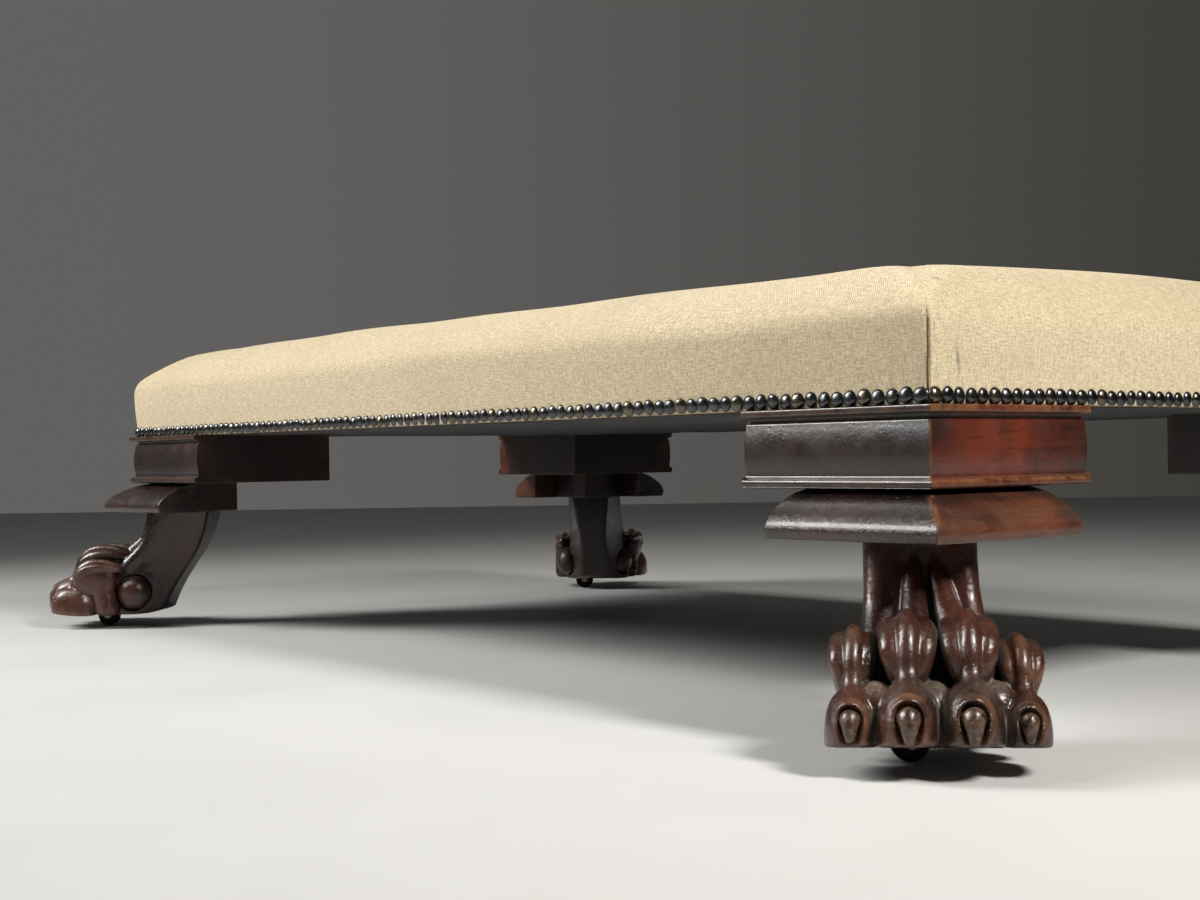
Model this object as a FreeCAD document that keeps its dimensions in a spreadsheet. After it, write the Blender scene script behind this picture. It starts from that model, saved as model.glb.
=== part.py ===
"""Large low footstool in mahogany: upholstered seat with a crowned linen cover and a row of dome nails,
four moulded corner blocks, four carved paw legs and four small swivel castors under the paws.

Frame: X along the long side, Y along the short side, Z up, origin on the floor under the middle of the seat.
Each corner has its own frame: origin on the floor below the outer corner of the block, X and Y inward along
the two sides of the seat. A leg's frame has X pointing outward along the corner's diagonal.
"""
import FreeCAD, Part
import math
import os
import Sketcher

# Driving dimensions in millimetres, degrees and counts
DIMENSIONS = [
    # Seat plan and heights above the floor
    ("seat_length", 1272, "long side over the fillets of the blocks"),
    ("seat_width", 745, "short side over the fillets of the blocks"),
    ("sole_height", 16, "floor to the sole of a paw"),
    ("leg_height", 125, "sole to the underside of the pad"),
    ("pad_height", 35, "thumb moulding and pad core"),
    ("block_height", 57, "corner block and its facings"),
    # Corner block
    ("block_width", 180, "outer corner to the inner face"),
    ("facing_thickness", 26, "fillet face to the block core"),
    ("fillet_height", 5, "square fillet along the top of a facing"),
    ("quirk_height", 4, "hollow under the fillet"),
    ("quirk_depth", 8, "hollow's back face behind the fillet face"),
    ("frieze_inset", 5.5, "edges of the convex frieze behind the fillet face"),
    ("frieze_bulge", 3, "swell of the frieze at its middle"),
    ("bead_height", 7, "bead along the foot of a facing"),
    ("bead_bulge", 2.5, "swell of the bead"),
    # Pad under the block
    ("pad_overhang", 24.5, "nose of the thumb moulding beyond the fillet face"),
    ("pad_reach", 133, "outer corner to the square-cut end of a thumb moulding"),
    ("pad_core_reach", 97, "outer corner to the inner face of the pad core"),
    ("thumb_width", 50, "nose to back of the thumb moulding"),
    ("nose_height", 16, "rounded nose of the thumb moulding"),
    ("nose_bulge", 5.2, "swell of the nose"),
    ("slope_run", 45, "nose to the top of the sloping face"),
    ("slope_bulge", 2.2, "swell of the sloping face"),
    ("dowel_radius", 12, "dowel through block, pad core and leg"),
    ("dowel_seat", 50, "outer corner to the dowel, along each side"),
    ("dowel_depth", 44, "dowel's depth in the block and in the leg"),
    ("glue_clearance", 0.15, "room round dowels and tenons"),
    # Carved leg, measured outward from the block's outer corner along the diagonal
    ("shank_back", 108, "inward reach of the shank at its top"),
    ("shank_front", 25, "inward distance of the shank's front at its top"),
    ("shank_width", 78, "width of the shank at its top"),
    ("ankle_rise", 84, "sole to the ankle section"),
    ("ankle_back", 94, "inward reach of the ankle"),
    ("ankle_front", 8, "inward distance of the ankle's front"),
    ("ankle_width", 82, "width of the ankle"),
    ("instep_rise", 54, "sole to the instep section"),
    ("instep_back", 78, "inward reach of the instep"),
    ("instep_front", 28, "outward reach of the instep"),
    ("instep_width", 92, "width of the instep"),
    ("foot_rise", 27, "sole to the widest section of the foot"),
    ("foot_back", 61, "inward reach of the foot"),
    ("foot_front", 52, "outward reach of the foot between the toes"),
    ("foot_width", 100, "width of the foot behind the toes"),
    ("sole_back", 48, "inward reach of the heel on the sole"),
    ("sole_front", 62, "outward reach of the sole between the toes"),
    ("sole_width", 96, "width of the sole behind the toes"),
    ("shank_rounding", 16, "rounded edges of the shank and the foot"),
    ("toe_root_out", -14, "outward place of a middle toe's root in the shank"),
    ("toe_root_half", 13, "half width of the root"),
    ("toe_root_rise", 76, "sole to the top of the root"),
    ("knuckle_out", 30, "outward place of a middle toe's knuckle"),
    ("knuckle_half", 18.5, "half width of the knuckle"),
    ("knuckle_rise", 82, "sole to the top of the knuckle"),
    ("brow_out", 53, "outward place of the knuckle's front"),
    ("brow_half", 18, "half width of the knuckle's front"),
    ("brow_rise", 71, "sole to the top of the knuckle's front"),
    ("neck_out", 67, "outward place of the hollow behind the toe's end"),
    ("neck_half", 14.5, "half width of the hollow"),
    ("neck_rise", 44, "sole to the hollow"),
    ("toe_end_out", 86, "outward place of the toe's broad end"),
    ("toe_end_half", 20.5, "half width of the toe's end"),
    ("toe_end_rise", 38, "sole to the top of the toe's end"),
    ("toe_tip_out", 101, "outward reach of a middle toe"),
    ("toe_tip_half", 16.5, "half width of the tip"),
    ("toe_tip_rise", 19, "sole to the top of the tip"),
    ("knuckle_side", 18, "middle knuckles to the leg's own plane"),
    ("toe_tip_side", 20, "middle toe tips to the leg's own plane"),
    ("side_toe_share", 0.87, "size of the side toes over the middle ones"),
    ("side_toe_setback", 9, "side toes behind the middle ones, apart from their size"),
    ("side_toe_root_out", 0, "outward place of a side toe's root beside the foot"),
    ("side_knuckle_side", 50, "side knuckles to the leg's own plane"),
    ("side_toe_tip_side", 56, "side toe tips to the leg's own plane"),
    ("claw_radius", 8, "root of a claw"),
    ("claw_length", 21, "root to tip of a claw"),
    ("claw_tip_radius", 1.2, "blunt tip of a claw"),
    ("tendon_radius", 11, "tendon where it meets the knuckle"),
    ("tendon_top_radius", 2, "tendon where it leaves the shank"),
    ("tendon_rise", 106, "sole to the upper end of a tendon"),
    ("tendon_foot_rise", 58, "sole to the lower end of a tendon, inside the knuckle"),
    ("tendon_top_side", 9, "upper end of a tendon to the leg's own plane"),
    ("heel_ball_radius", 20, "rounded pad on each side of the heel"),
    ("heel_ball_back", 24, "inward place of the heel pads"),
    ("heel_ball_side", 40, "heel pads to the leg's own plane"),
    ("heel_ball_rise", 22, "sole to the centre of the heel pads"),
    # Castor in a bored pocket under the paw
    ("castor_out", 10, "outward place of the swivel axis"),
    ("castor_heading", 230.8, "direction in which the castors trail"),
    ("castor_trail", 18, "swivel axis to the wheel's axle"),
    ("wheel_radius", 13, "castor wheel"),
    ("wheel_width", 11, "castor wheel"),
    ("wheel_chamfer", 1.2, "bevelled rims of the wheel"),
    ("axle_radius", 2.5, "axle pin"),
    ("axle_head_radius", 4, "riveted ends of the axle pin"),
    ("axle_head_height", 1.2, "riveted ends of the axle pin"),
    ("cheek_thickness", 3, "cheeks of the fork"),
    ("cheek_foot_half", 5.5, "half width of a cheek at the axle"),
    ("cheek_foot_drop", 4.6, "rounded foot of a cheek below the axle"),
    ("cheek_root", 8, "swivel axis to the near edge of a cheek, under the crown"),
    ("crown_thickness", 3.4, "crown of the fork"),
    ("crown_back", 9, "crown behind the swivel axis"),
    ("crown_front", 25, "crown ahead of the swivel axis"),
    ("crown_clearance", 2, "wheel to the crown of the fork"),
    ("stud_radius", 4, "swivel stud of the plate"),
    ("stud_head_radius", 6.5, "riveted end of the swivel stud"),
    ("stud_head_height", 1.8, "riveted end of the swivel stud"),
    ("collar_radius", 9, "bearing collar of the plate"),
    ("collar_height", 3, "bearing collar of the plate"),
    ("plate_thickness", 3, "castor plate"),
    ("plate_radius", 30, "castor plate"),
    ("running_clearance", 0.08, "radial room at the swivel and the axle"),
    ("side_clearance", 0.4, "room beside the wheel"),
    ("bearing_clearance", 0.1, "room over and under the crown"),
    ("pocket_clearance", 1.5, "room round the swinging wheel"),
    ("screw_circle", 23, "swivel axis to the plate's screws"),
    ("screw_count", 3, "screws of one plate"),
    ("screw_radius", 2, "shank of a plate screw"),
    ("screw_length", 15, "shank of a plate screw in the leg"),
    ("screw_head_radius", 3.8, "head of a plate screw"),
    ("screw_head_height", 1.6, "head of a plate screw"),
    ("screw_clearance", 0.2, "room round the screws in the plate"),
    # Seat frame
    ("rail_height", 55, "seat rails"),
    ("rail_thickness", 38, "seat rails"),
    ("rail_inset", 9.2, "fillet face to the outer face of a rail"),
    ("tenon_length", 26, "tenons of the short rails"),
    ("tenon_thickness", 13, "tenons of the short rails"),
    ("tenon_height", 38, "tenons of the short rails"),
    ("brace_length", 85, "corner brace along each rail"),
    ("brace_height", 38, "corner brace"),
    # Seat support under the stuffing
    ("web_width", 50, "webbing straps"),
    ("web_thickness", 1.6, "webbing straps"),
    ("web_lap", 28, "strap ends on the rails"),
    ("long_web_count", 7, "straps along the seat"),
    ("cross_web_count", 13, "straps across the seat"),
    ("hessian_thickness", 1, "hessian over the webbing"),
    ("hessian_inset", 16, "fillet face to the edge of the hessian"),
    ("dust_cover_thickness", 1, "dust cover under the rails"),
    ("dust_cover_inset", 18, "fillet face to the edge of the dust cover"),
    ("dust_cover_clearance", 1, "dust cover to the corner blocks"),
    # Crowned seat
    ("cover_thickness", 1.6, "linen and its lining"),
    ("cover_clearance", 0.7, "cover to the stuffing"),
    ("cover_foot_inset", 6.5, "fillet face to the cover at its lower edge"),
    ("border_height", 57, "upright border of the cover"),
    ("border_lean", 3.5, "border's top beyond its lower edge"),
    ("border_corner_radius", 10, "upright corners of the border"),
    ("shoulder_run", 17, "rounded edge between border and crown"),
    ("shoulder_rise", 24, "rounded edge between border and crown"),
    ("shoulder_corner_radius", 36, "corners where the shoulder ends"),
    ("crown_rise", 29, "shoulder to the middle of the seat"),
    ("crown_flat", 52, "half width of the level middle of the crown"),
    ("crown_corner_radius", 48, "corners of the level middle"),
    ("crown_power", 4.5, "how early the crown levels off"),
    # Nails
    ("nail_radius", 5.1, "head of a dome nail"),
    ("nail_height", 3.1, "head of a dome nail"),
    ("nail_crest_radius", 2.6, "flattened crest of a dome nail"),
    ("nail_shank", 1.6, "square shank of a nail"),
    ("nail_length", 11, "shank of a nail"),
    ("nail_pitch", 12.65, "spacing of the nails"),
    ("nail_corner", 6.5, "last nail to the corner of the cover"),
    ("nail_rise", 6, "lower edge of the cover to the nails"),
]

doc = FreeCAD.newDocument("Footstool")


class Size:
    """A length that knows its expression in the sheet and its value now."""

    def __init__(self, text, value):
        self.text = text
        self.value = value

    @staticmethod
    def of(other):
        return other if isinstance(other, Size) else Size(repr(other), other)

    def __add__(self, other):
        other = Size.of(other)
        return Size(f"({self.text} + {other.text})", self.value + other.value)

    def __sub__(self, other):
        other = Size.of(other)
        return Size(f"({self.text} - {other.text})", self.value - other.value)

    def __mul__(self, other):
        other = Size.of(other)
        return Size(f"({self.text} * {other.text})", self.value * other.value)

    def __truediv__(self, other):
        other = Size.of(other)
        return Size(f"({self.text} / {other.text})", self.value / other.value)

    def __neg__(self):
        return Size(f"(0 - {self.text})", -self.value)

    def root(self):
        return Size(f"sqrt({self.text})", math.sqrt(self.value))


ZERO = Size("0", 0.0)


class Sizes:
    """The sheet's cells as attributes."""

    def __init__(self, sheet):
        self.sheet = sheet

    def __getattr__(self, alias):
        return Size(f"{self.sheet.Name}.{alias}", float(self.sheet.get(alias)))


def fill_sheet():
    sheet = doc.addObject("Spreadsheet::Sheet", "Dimensions")
    for row, (alias, value, meaning) in enumerate(DIMENSIONS, 1):
        sheet.set(f"A{row}", alias)
        sheet.set(f"B{row}", str(value))
        sheet.set(f"C{row}", meaning)
        sheet.setAlias(f"B{row}", alias)
    doc.recompute()
    return sheet


size = Sizes(fill_sheet())

# Levels above the floor
LEG_TOP = size.sole_height + size.leg_height
PAD_TOP = LEG_TOP + size.pad_height
RAIL_FOOT = PAD_TOP + size.block_height
RAIL_TOP = RAIL_FOOT + size.rail_height
CROSS_WEB_FOOT = RAIL_TOP + size.web_thickness
HESSIAN_FOOT = CROSS_WEB_FOOT + size.web_thickness
STUFFING_FOOT = HESSIAN_FOOT + size.hessian_thickness
CROWN_FOOT = size.wheel_radius * 2 + size.crown_clearance
CROWN_TOP = CROWN_FOOT + size.crown_thickness
PLATE_FOOT = CROWN_TOP + size.bearing_clearance + size.collar_height
POCKET_TOP = PLATE_FOOT + size.plate_thickness
HALF_LENGTH = size.seat_length / 2
HALF_WIDTH = size.seat_width / 2
HALF_ROOT = math.sqrt(0.5)
OUTWARD_TURN = 225
# Shares of a toe's height and half width: widest place, foot, spring of the rounded top, and root of the claw
TOE_WAIST = 0.45
TOE_FOOT = 0.94
TOE_SPRING = 0.86
TOE_SHOULDER = 0.76
CLAW_ROOT = 0.62
# Ruled lengths between two named sections of the carving
TRUNK_STEPS = 3
TOE_STEPS = 2
# Rings of the cover: turns round the shoulder in degrees, and shares of the way over the crown
SHOULDER_TURNS = (25, 50, 75)
CROWN_SHARES = (0.04, 0.12, 0.25, 0.45, 0.7, 1)
# Least rise between a soft solid's foot and its next ring, as a share of the shoulder
RING_ROOM = 0.25
NAIL_SIDES = 6
SHANK_SIDES = 4

# Corner frames: name, side of the corner along X and Y, turn, and the sides that its X and Y axes run along
CORNERS = [
    ("front_left", -1, -1, 0, "front", "left"),
    ("front_right", 1, -1, 90, "right", "front"),
    ("back_right", 1, 1, 180, "back", "right"),
    ("back_left", -1, 1, 270, "left", "back"),
]
parts = []


# Helpers for documents, sketches and features
def keep(piece, name):
    """Name a finished sub-part, whose file takes the same name."""
    piece.Label = name
    parts.append(piece)
    return piece


def bind(piece, **expressions):
    for name, value in expressions.items():
        piece.setExpression(name, Size.of(value).text)


def place(piece, x=ZERO, y=ZERO, z=ZERO, turn=0):
    """Stand a sub-part at a bound place, turned about the vertical."""
    turned = FreeCAD.Rotation(FreeCAD.Vector(0, 0, 1), turn)
    piece.Placement = FreeCAD.Placement(FreeCAD.Vector(x.value, y.value, z.value), turned)
    for axis, value in zip("xyz", (x, y, z)):
        piece.setExpression(f"Placement.Base.{axis}", value.text)


def place_at_corner(piece, side_x, side_y, turn):
    place(piece, HALF_LENGTH * side_x, HALF_WIDTH * side_y, ZERO, turn)


def new_body(name):
    return doc.addObject("PartDesign::Body", name + "_body")


def new_sketch(body, plane):
    sketch = body.newObject("Sketcher::SketchObject", f"{body.Name}_sketch")
    support = next(f for f in body.Origin.OriginFeatures if f.Role == plane)
    sketch.AttachmentSupport = [(support, "")]
    sketch.MapMode = "FlatFace"
    return sketch


def fix_point(sketch, edge, end, x, y):
    for kind, value in (("DistanceX", x), ("DistanceY", y)):
        datum = Sketcher.Constraint(kind, -1, 1, edge, end, value.value)
        sketch.setExpression(f"Constraints[{sketch.addConstraint(datum)}]", value.text)


def arc_between(start, end, bulge):
    """Arc that swells to the right of the way from start to end, by the height bulge over its chord."""
    chord = end - start
    radius = (chord.Length ** 2 / 4 + bulge ** 2) / (2 * bulge)
    left = FreeCAD.Vector(-chord.y, chord.x, 0).normalize()
    centre = start + chord * 0.5 + left * (radius - bulge)
    first = math.atan2(start.y - centre.y, start.x - centre.x)
    last = math.atan2(end.y - centre.y, end.x - centre.x)
    circle = Part.Circle(centre, FreeCAD.Vector(0, 0, 1), radius)
    return Part.ArcOfCircle(circle, first, last if last > first else last + 2 * math.pi)


def draw_outline(sketch, corners):
    """Closed outline, anticlockwise, through corners (x, y) or (x, y, bulge of the edge to the next)."""
    count = len(corners)
    points = [FreeCAD.Vector(c[0].value, c[1].value, 0) for c in corners]
    for i, corner in enumerate(corners):
        start = points[i]
        end = points[(i + 1) % count]
        if len(corner) == 3:
            sketch.addGeometry(arc_between(start, end, corner[2].value), False)
        else:
            sketch.addGeometry(Part.LineSegment(start, end), False)
    for i in range(count):
        sketch.addConstraint(Sketcher.Constraint("Coincident", i, 2, (i + 1) % count, 1))
    for i, corner in enumerate(corners):
        fix_point(sketch, i, 1, corner[0], corner[1])
        if len(corner) == 3:
            following = corners[(i + 1) % count]
            run = following[0] - corner[0]
            rise = following[1] - corner[1]
            chord_squared = run * run + rise * rise
            radius = (chord_squared / 4 + corner[2] * corner[2]) / (corner[2] * 2)
            datum = Sketcher.Constraint("Radius", i, radius.value)
            sketch.setExpression(f"Constraints[{sketch.addConstraint(datum)}]", radius.text)


def draw_circle(sketch, x, y, radius):
    circle = Part.Circle(FreeCAD.Vector(x.value, y.value, 0), FreeCAD.Vector(0, 0, 1), radius.value)
    edge = sketch.addGeometry(circle, False)
    fix_point(sketch, edge, 3, x, y)
    datum = Sketcher.Constraint("Radius", edge, radius.value)
    sketch.setExpression(f"Constraints[{sketch.addConstraint(datum)}]", radius.text)


def rectangle(x0, y0, x1, y1):
    return [(x0, y0), (x1, y0), (x1, y1), (x0, y1)]


def pad(body, sketch, length, reverse=False, both_ways=False):
    feature = body.newObject("PartDesign::Pad", f"{body.Name}_pad")
    feature.Profile = sketch
    feature.Reversed = reverse
    feature.SideType = "Symmetric" if both_ways else "One side"
    bind(feature, Length=length)
    return feature


def pocket(body, sketch, length=None, reverse=False, both_ways=False):
    """Cut a sketch into the body, by a length or through all of it."""
    feature = body.newObject("PartDesign::Pocket", f"{body.Name}_pocket")
    feature.Profile = sketch
    feature.Reversed = reverse
    feature.SideType = "Symmetric" if both_ways else "One side"
    if length is None:
        feature.Type = "ThroughAll"
    else:
        bind(feature, Length=length)
    return feature


def lift(sketch, height):
    """Move a sketch along its own normal."""
    sketch.setExpression("AttachmentOffset.Base.z", height.text)


def revolve(body, sketch):
    feature = body.newObject("PartDesign::Revolution", f"{body.Name}_revolution")
    feature.Profile = sketch
    feature.ReferenceAxis = (sketch, ["V_Axis"])
    return feature


def box(name, length, width, height, x, y, z):
    piece = doc.addObject("Part::Box", name)
    bind(piece, Length=length, Width=width, Height=height)
    place(piece, x, y, z)
    return piece


def group(name, pieces):
    gathered = doc.addObject("Part::Compound", name)
    gathered.Links = pieces
    return keep(gathered, name)


def shape_piece(name, shape):
    piece = doc.addObject("Part::Feature", name)
    piece.Shape = shape
    return keep(piece, name)


# Seat frame
def rail_outline(end, half, rounding, side):
    """Plan of a long rail, with its two outer corners rounded to suit the cover."""
    swell = rounding * (1 - HALF_ROOT)
    if side > 0:
        return [
            (-end, -half), (end, -half), (end, half - rounding, swell), (end - rounding, half),
            (rounding - end, half, swell), (-end, half - rounding),
        ]
    return [
        (end, half), (-end, half), (-end, rounding - half, swell), (rounding - end, -half),
        (end - rounding, -half, swell), (end, rounding - half),
    ]


def long_rail(name, side):
    """Rail of a long side, with a mortise at each end for the short rails."""
    length = size.seat_length - size.rail_inset * 2
    middle_y = (HALF_WIDTH - size.rail_inset - size.rail_thickness / 2) * side
    body = new_body(name)
    section = new_sketch(body, "XY_Plane")
    half = size.rail_thickness / 2
    draw_outline(section, rail_outline(length / 2, half, size.border_corner_radius, side))
    pad(body, section, size.rail_height)
    room = size.glue_clearance
    low = (size.rail_height - size.tenon_height) / 2 - room
    high = low + size.tenon_height + room * 2
    outer = size.rail_thickness / 2 + size.tenon_thickness / 2 + room
    inner = size.rail_thickness / 2 - size.tenon_thickness / 2 - room
    for end in (1, -1):
        mortise = new_sketch(body, "XZ_Plane")
        near = (length / 2 - outer) * end
        far = (length / 2 - inner) * end
        draw_outline(mortise, rectangle(near, low, far, high) if end > 0 else rectangle(far, low, near, high))
        lift(mortise, half * side)
        pocket(body, mortise, size.tenon_length + room, reverse=side < 0)
    place(body, ZERO, middle_y, RAIL_FOOT)
    return keep(body, name)


def short_rail(name, side):
    """Rail of a short side, between the long rails, with a tenon at each end."""
    length = size.seat_width - (size.rail_inset + size.rail_thickness) * 2
    middle_x = (HALF_LENGTH - size.rail_inset - size.rail_thickness / 2) * side
    body = new_body(name)
    section = new_sketch(body, "XZ_Plane")
    half = size.rail_thickness / 2
    draw_outline(section, rectangle(-half, ZERO, half, size.rail_height))
    pad(body, section, length, both_ways=True)
    low = (size.rail_height - size.tenon_height) / 2
    tenon = new_sketch(body, "XZ_Plane")
    thick = size.tenon_thickness / 2
    draw_outline(tenon, rectangle(-thick, low, thick, low + size.tenon_height))
    pad(body, tenon, length + size.tenon_length * 2, both_ways=True)
    place(body, middle_x, ZERO, RAIL_FOOT)
    return keep(body, name)


def corner_braces():
    """Glued triangular braces in the four inner corners of the frame."""
    inner = (size.rail_inset + size.rail_thickness).value
    reach = inner + size.brace_length.value
    foot = (size.rail_height - size.brace_height).value / 2
    braces = []
    for corner, side_x, side_y, turn, along_x, along_y in CORNERS:
        points = [(inner, inner), (reach, inner), (inner, reach), (inner, inner)]
        outline = Part.makePolygon([FreeCAD.Vector(x, y, 0) for x, y in points])
        brace = Part.Face(outline).extrude(FreeCAD.Vector(0, 0, size.brace_height.value))
        brace.rotate(FreeCAD.Vector(), FreeCAD.Vector(0, 0, 1), turn)
        brace.translate(FreeCAD.Vector(side_x * HALF_LENGTH.value, side_y * HALF_WIDTH.value, 0))
        braces.append(brace)
    piece = shape_piece("corner_braces", Part.makeCompound(braces))
    place(piece, z=RAIL_FOOT + foot)


def webbing():
    """Straps on top of the rails: the long ones below, the cross ones over them."""
    span_x = size.seat_length - (size.rail_inset + size.rail_thickness - size.web_lap) * 2
    span_y = size.seat_width - (size.rail_inset + size.rail_thickness - size.web_lap) * 2
    clear_x = HALF_LENGTH - size.rail_inset - size.rail_thickness
    clear_y = HALF_WIDTH - size.rail_inset - size.rail_thickness
    long_count = int(size.long_web_count.value)
    cross_count = int(size.cross_web_count.value)
    straps = []
    for i in range(long_count):
        middle = clear_y * ((2 * i + 1) / long_count - 1)
        foot = middle - size.web_width / 2
        height = size.web_thickness
        strap = box(f"long_strap_{i}", span_x, size.web_width, height, -(span_x / 2), foot, RAIL_TOP)
        straps.append(strap)
    group("long_webbing", straps)
    straps = []
    for i in range(cross_count):
        middle = clear_x * ((2 * i + 1) / cross_count - 1)
        foot = middle - size.web_width / 2
        height = size.web_thickness
        strap = box(f"cross_strap_{i}", size.web_width, span_y, height, foot, -(span_y / 2), CROSS_WEB_FOOT)
        straps.append(strap)
    group("cross_webbing", straps)


def base_hessian():
    length = size.seat_length - size.hessian_inset * 2
    width = size.seat_width - size.hessian_inset * 2
    height = size.hessian_thickness
    sheet = box("base_hessian", length, width, height, -(length / 2), -(width / 2), HESSIAN_FOOT)
    keep(sheet, "base_hessian")


def dust_cover():
    """Thin cloth under the rails, cut round the corner blocks."""
    far_x = HALF_LENGTH - size.dust_cover_inset
    far_y = HALF_WIDTH - size.dust_cover_inset
    near_x = HALF_LENGTH - size.block_width - size.dust_cover_clearance
    near_y = HALF_WIDTH - size.block_width - size.dust_cover_clearance
    body = new_body("dust_cover")
    outline = new_sketch(body, "XY_Plane")
    draw_outline(outline, [
        (-near_x, -far_y), (near_x, -far_y), (near_x, -near_y), (far_x, -near_y),
        (far_x, near_y), (near_x, near_y), (near_x, far_y), (-near_x, far_y),
        (-near_x, near_y), (-far_x, near_y), (-far_x, -near_y), (-near_x, -near_y),
    ])
    pad(body, outline, size.dust_cover_thickness)
    place(body, z=RAIL_FOOT - size.dust_cover_thickness)
    keep(body, "dust_cover")


# Crowned seat
def rounded_ring(half_x, half_y, radius, height):
    """Level rectangle with rounded corners, as lines and quarter arcs."""
    arcs = []
    for quarter, (sign_x, sign_y) in enumerate(((1, 1), (-1, 1), (-1, -1), (1, -1))):
        centre = FreeCAD.Vector(sign_x * (half_x - radius), sign_y * (half_y - radius), height)
        circle = Part.Circle(centre, FreeCAD.Vector(0, 0, 1), radius)
        arcs.append(Part.ArcOfCircle(circle, quarter * math.pi / 2, (quarter + 1) * math.pi / 2))
    edges = []
    for arc, following in zip(arcs, arcs[1:] + arcs[:1]):
        edges.append(arc.toShape())
        edges.append(Part.makeLine(arc.EndPoint, following.StartPoint))
    return Part.Wire(edges)


def seat_rings():
    """How far out, how high and with what corners the cover's face runs, from its border to its middle."""
    border_top = RAIL_FOOT.value + size.border_height.value
    lean = size.border_lean.value
    run = size.shoulder_run.value
    rise = size.shoulder_rise.value
    corner = size.border_corner_radius.value
    corner_growth = size.shoulder_corner_radius.value - corner
    rings = [(lean * share, RAIL_FOOT.value + size.border_height.value * share, corner) for share in (0.5, 1)]
    for degrees in SHOULDER_TURNS:
        turned = math.radians(degrees)
        drawn_in = 1 - math.cos(turned)
        height = border_top + rise * math.sin(turned)
        rings.append((lean - run * drawn_in, height, corner + corner_growth * drawn_in))
    corner = size.shoulder_corner_radius.value
    corner_growth = size.crown_corner_radius.value - corner
    reach = HALF_WIDTH.value - size.cover_foot_inset.value + lean - run - size.crown_flat.value
    for share in CROWN_SHARES:
        climb = 1 - (1 - share) ** size.crown_power.value
        height = border_top + rise + size.crown_rise.value * climb
        rings.append((lean - run - reach * share, height, corner + corner_growth * share))
    return rings


def seat_solid(inset, foot):
    """Crowned solid that stays inset inside the cover's face and stands on the level foot."""
    half_x = HALF_LENGTH.value - size.cover_foot_inset.value - inset
    half_y = HALF_WIDTH.value - size.cover_foot_inset.value - inset
    face = [(0, RAIL_FOOT.value, size.border_corner_radius.value)] + seat_rings()
    next_ring = next(i for i, ring in enumerate(face[1:], 1) if ring[1] - inset > foot)
    low_ring = face[next_ring - 1]
    high_ring = face[next_ring]
    share = (foot + inset - low_ring[1]) / (high_ring[1] - low_ring[1])
    rings = [[low + (high - low) * share for low, high in zip(low_ring, high_ring)]]
    room = size.shoulder_rise.value * RING_ROOM
    rings += [ring for ring in face[next_ring:] if ring[1] - inset > foot + room]
    wires = [rounded_ring(half_x + out, half_y + out, corner, height - inset) for out, height, corner in rings]
    return Part.makeLoft(wires, True, True)


def linen_cover():
    """Cover as a thin shell, open below, round the rails and the stuffing."""
    outside = seat_solid(0, RAIL_FOOT.value)
    inside = seat_solid(size.cover_thickness.value, RAIL_FOOT.value - size.cover_thickness.value)
    shape_piece("linen_cover", outside.cut(inside))


def stuffing_pad():
    inset = size.cover_thickness + size.cover_clearance
    shape_piece("stuffing_pad", seat_solid(inset.value, STUFFING_FOOT.value))


def nail_solid():
    """Six-sided dome head with a square pointed shank, its underside on Z = 0 and the shank downward."""
    def ring(radius, count, height):
        turns = [2 * math.pi * i / count for i in range(count)]
        return [FreeCAD.Vector(radius * math.cos(turn), radius * math.sin(turn), height) for turn in turns]

    rim = ring(size.nail_radius.value, NAIL_SIDES, 0)
    crest = ring(size.nail_crest_radius.value, NAIL_SIDES, size.nail_height.value)
    neck = ring(size.nail_shank.value * HALF_ROOT, SHANK_SIDES, 0)
    point = FreeCAD.Vector(0, 0, -size.nail_length.value)
    underside = Part.Face([Part.makePolygon(rim + rim[:1]), Part.makePolygon(neck + neck[:1])])
    faces = [underside, Part.Face(Part.makePolygon(crest + crest[:1]))]
    for i in range(NAIL_SIDES):
        k = (i + 1) % NAIL_SIDES
        faces.append(Part.Face(Part.makePolygon([rim[i], rim[k], crest[k], crest[i], rim[i]])))
    for i in range(SHANK_SIDES):
        k = (i + 1) % SHANK_SIDES
        faces.append(Part.Face(Part.makePolygon([neck[i], neck[k], point, neck[i]])))
    solid = Part.Solid(Part.Shell(faces))
    solid.fix(1e-6, 1e-6, 1e-6)
    return solid


def dome_nails():
    """One close row of nails along the lower edge of the cover, on the four sides."""
    pattern = nail_solid()
    inset = size.cover_foot_inset - size.border_lean * size.nail_rise / size.border_height
    face_x = (HALF_LENGTH - inset).value
    face_y = (HALF_WIDTH - inset).value
    level = (RAIL_FOOT + size.nail_rise).value
    nails = []
    sides = [(0, face_x, face_y), (90, face_y, face_x), (180, face_x, face_y), (270, face_y, face_x)]
    for turn, face, half_run in sides:
        run = 2 * (half_run - size.nail_corner.value)
        count = int(run / size.nail_pitch.value + 0.5)
        for i in range(count + 1):
            nail = pattern.copy()
            nail.rotate(FreeCAD.Vector(), FreeCAD.Vector(0, 1, 0), 90)
            nail.translate(FreeCAD.Vector(face, run * (i / count - 0.5), level))
            nail.rotate(FreeCAD.Vector(), FreeCAD.Vector(0, 0, 1), turn)
            nails.append(nail)
    shape_piece("dome_nails", Part.makeCompound(nails))


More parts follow.
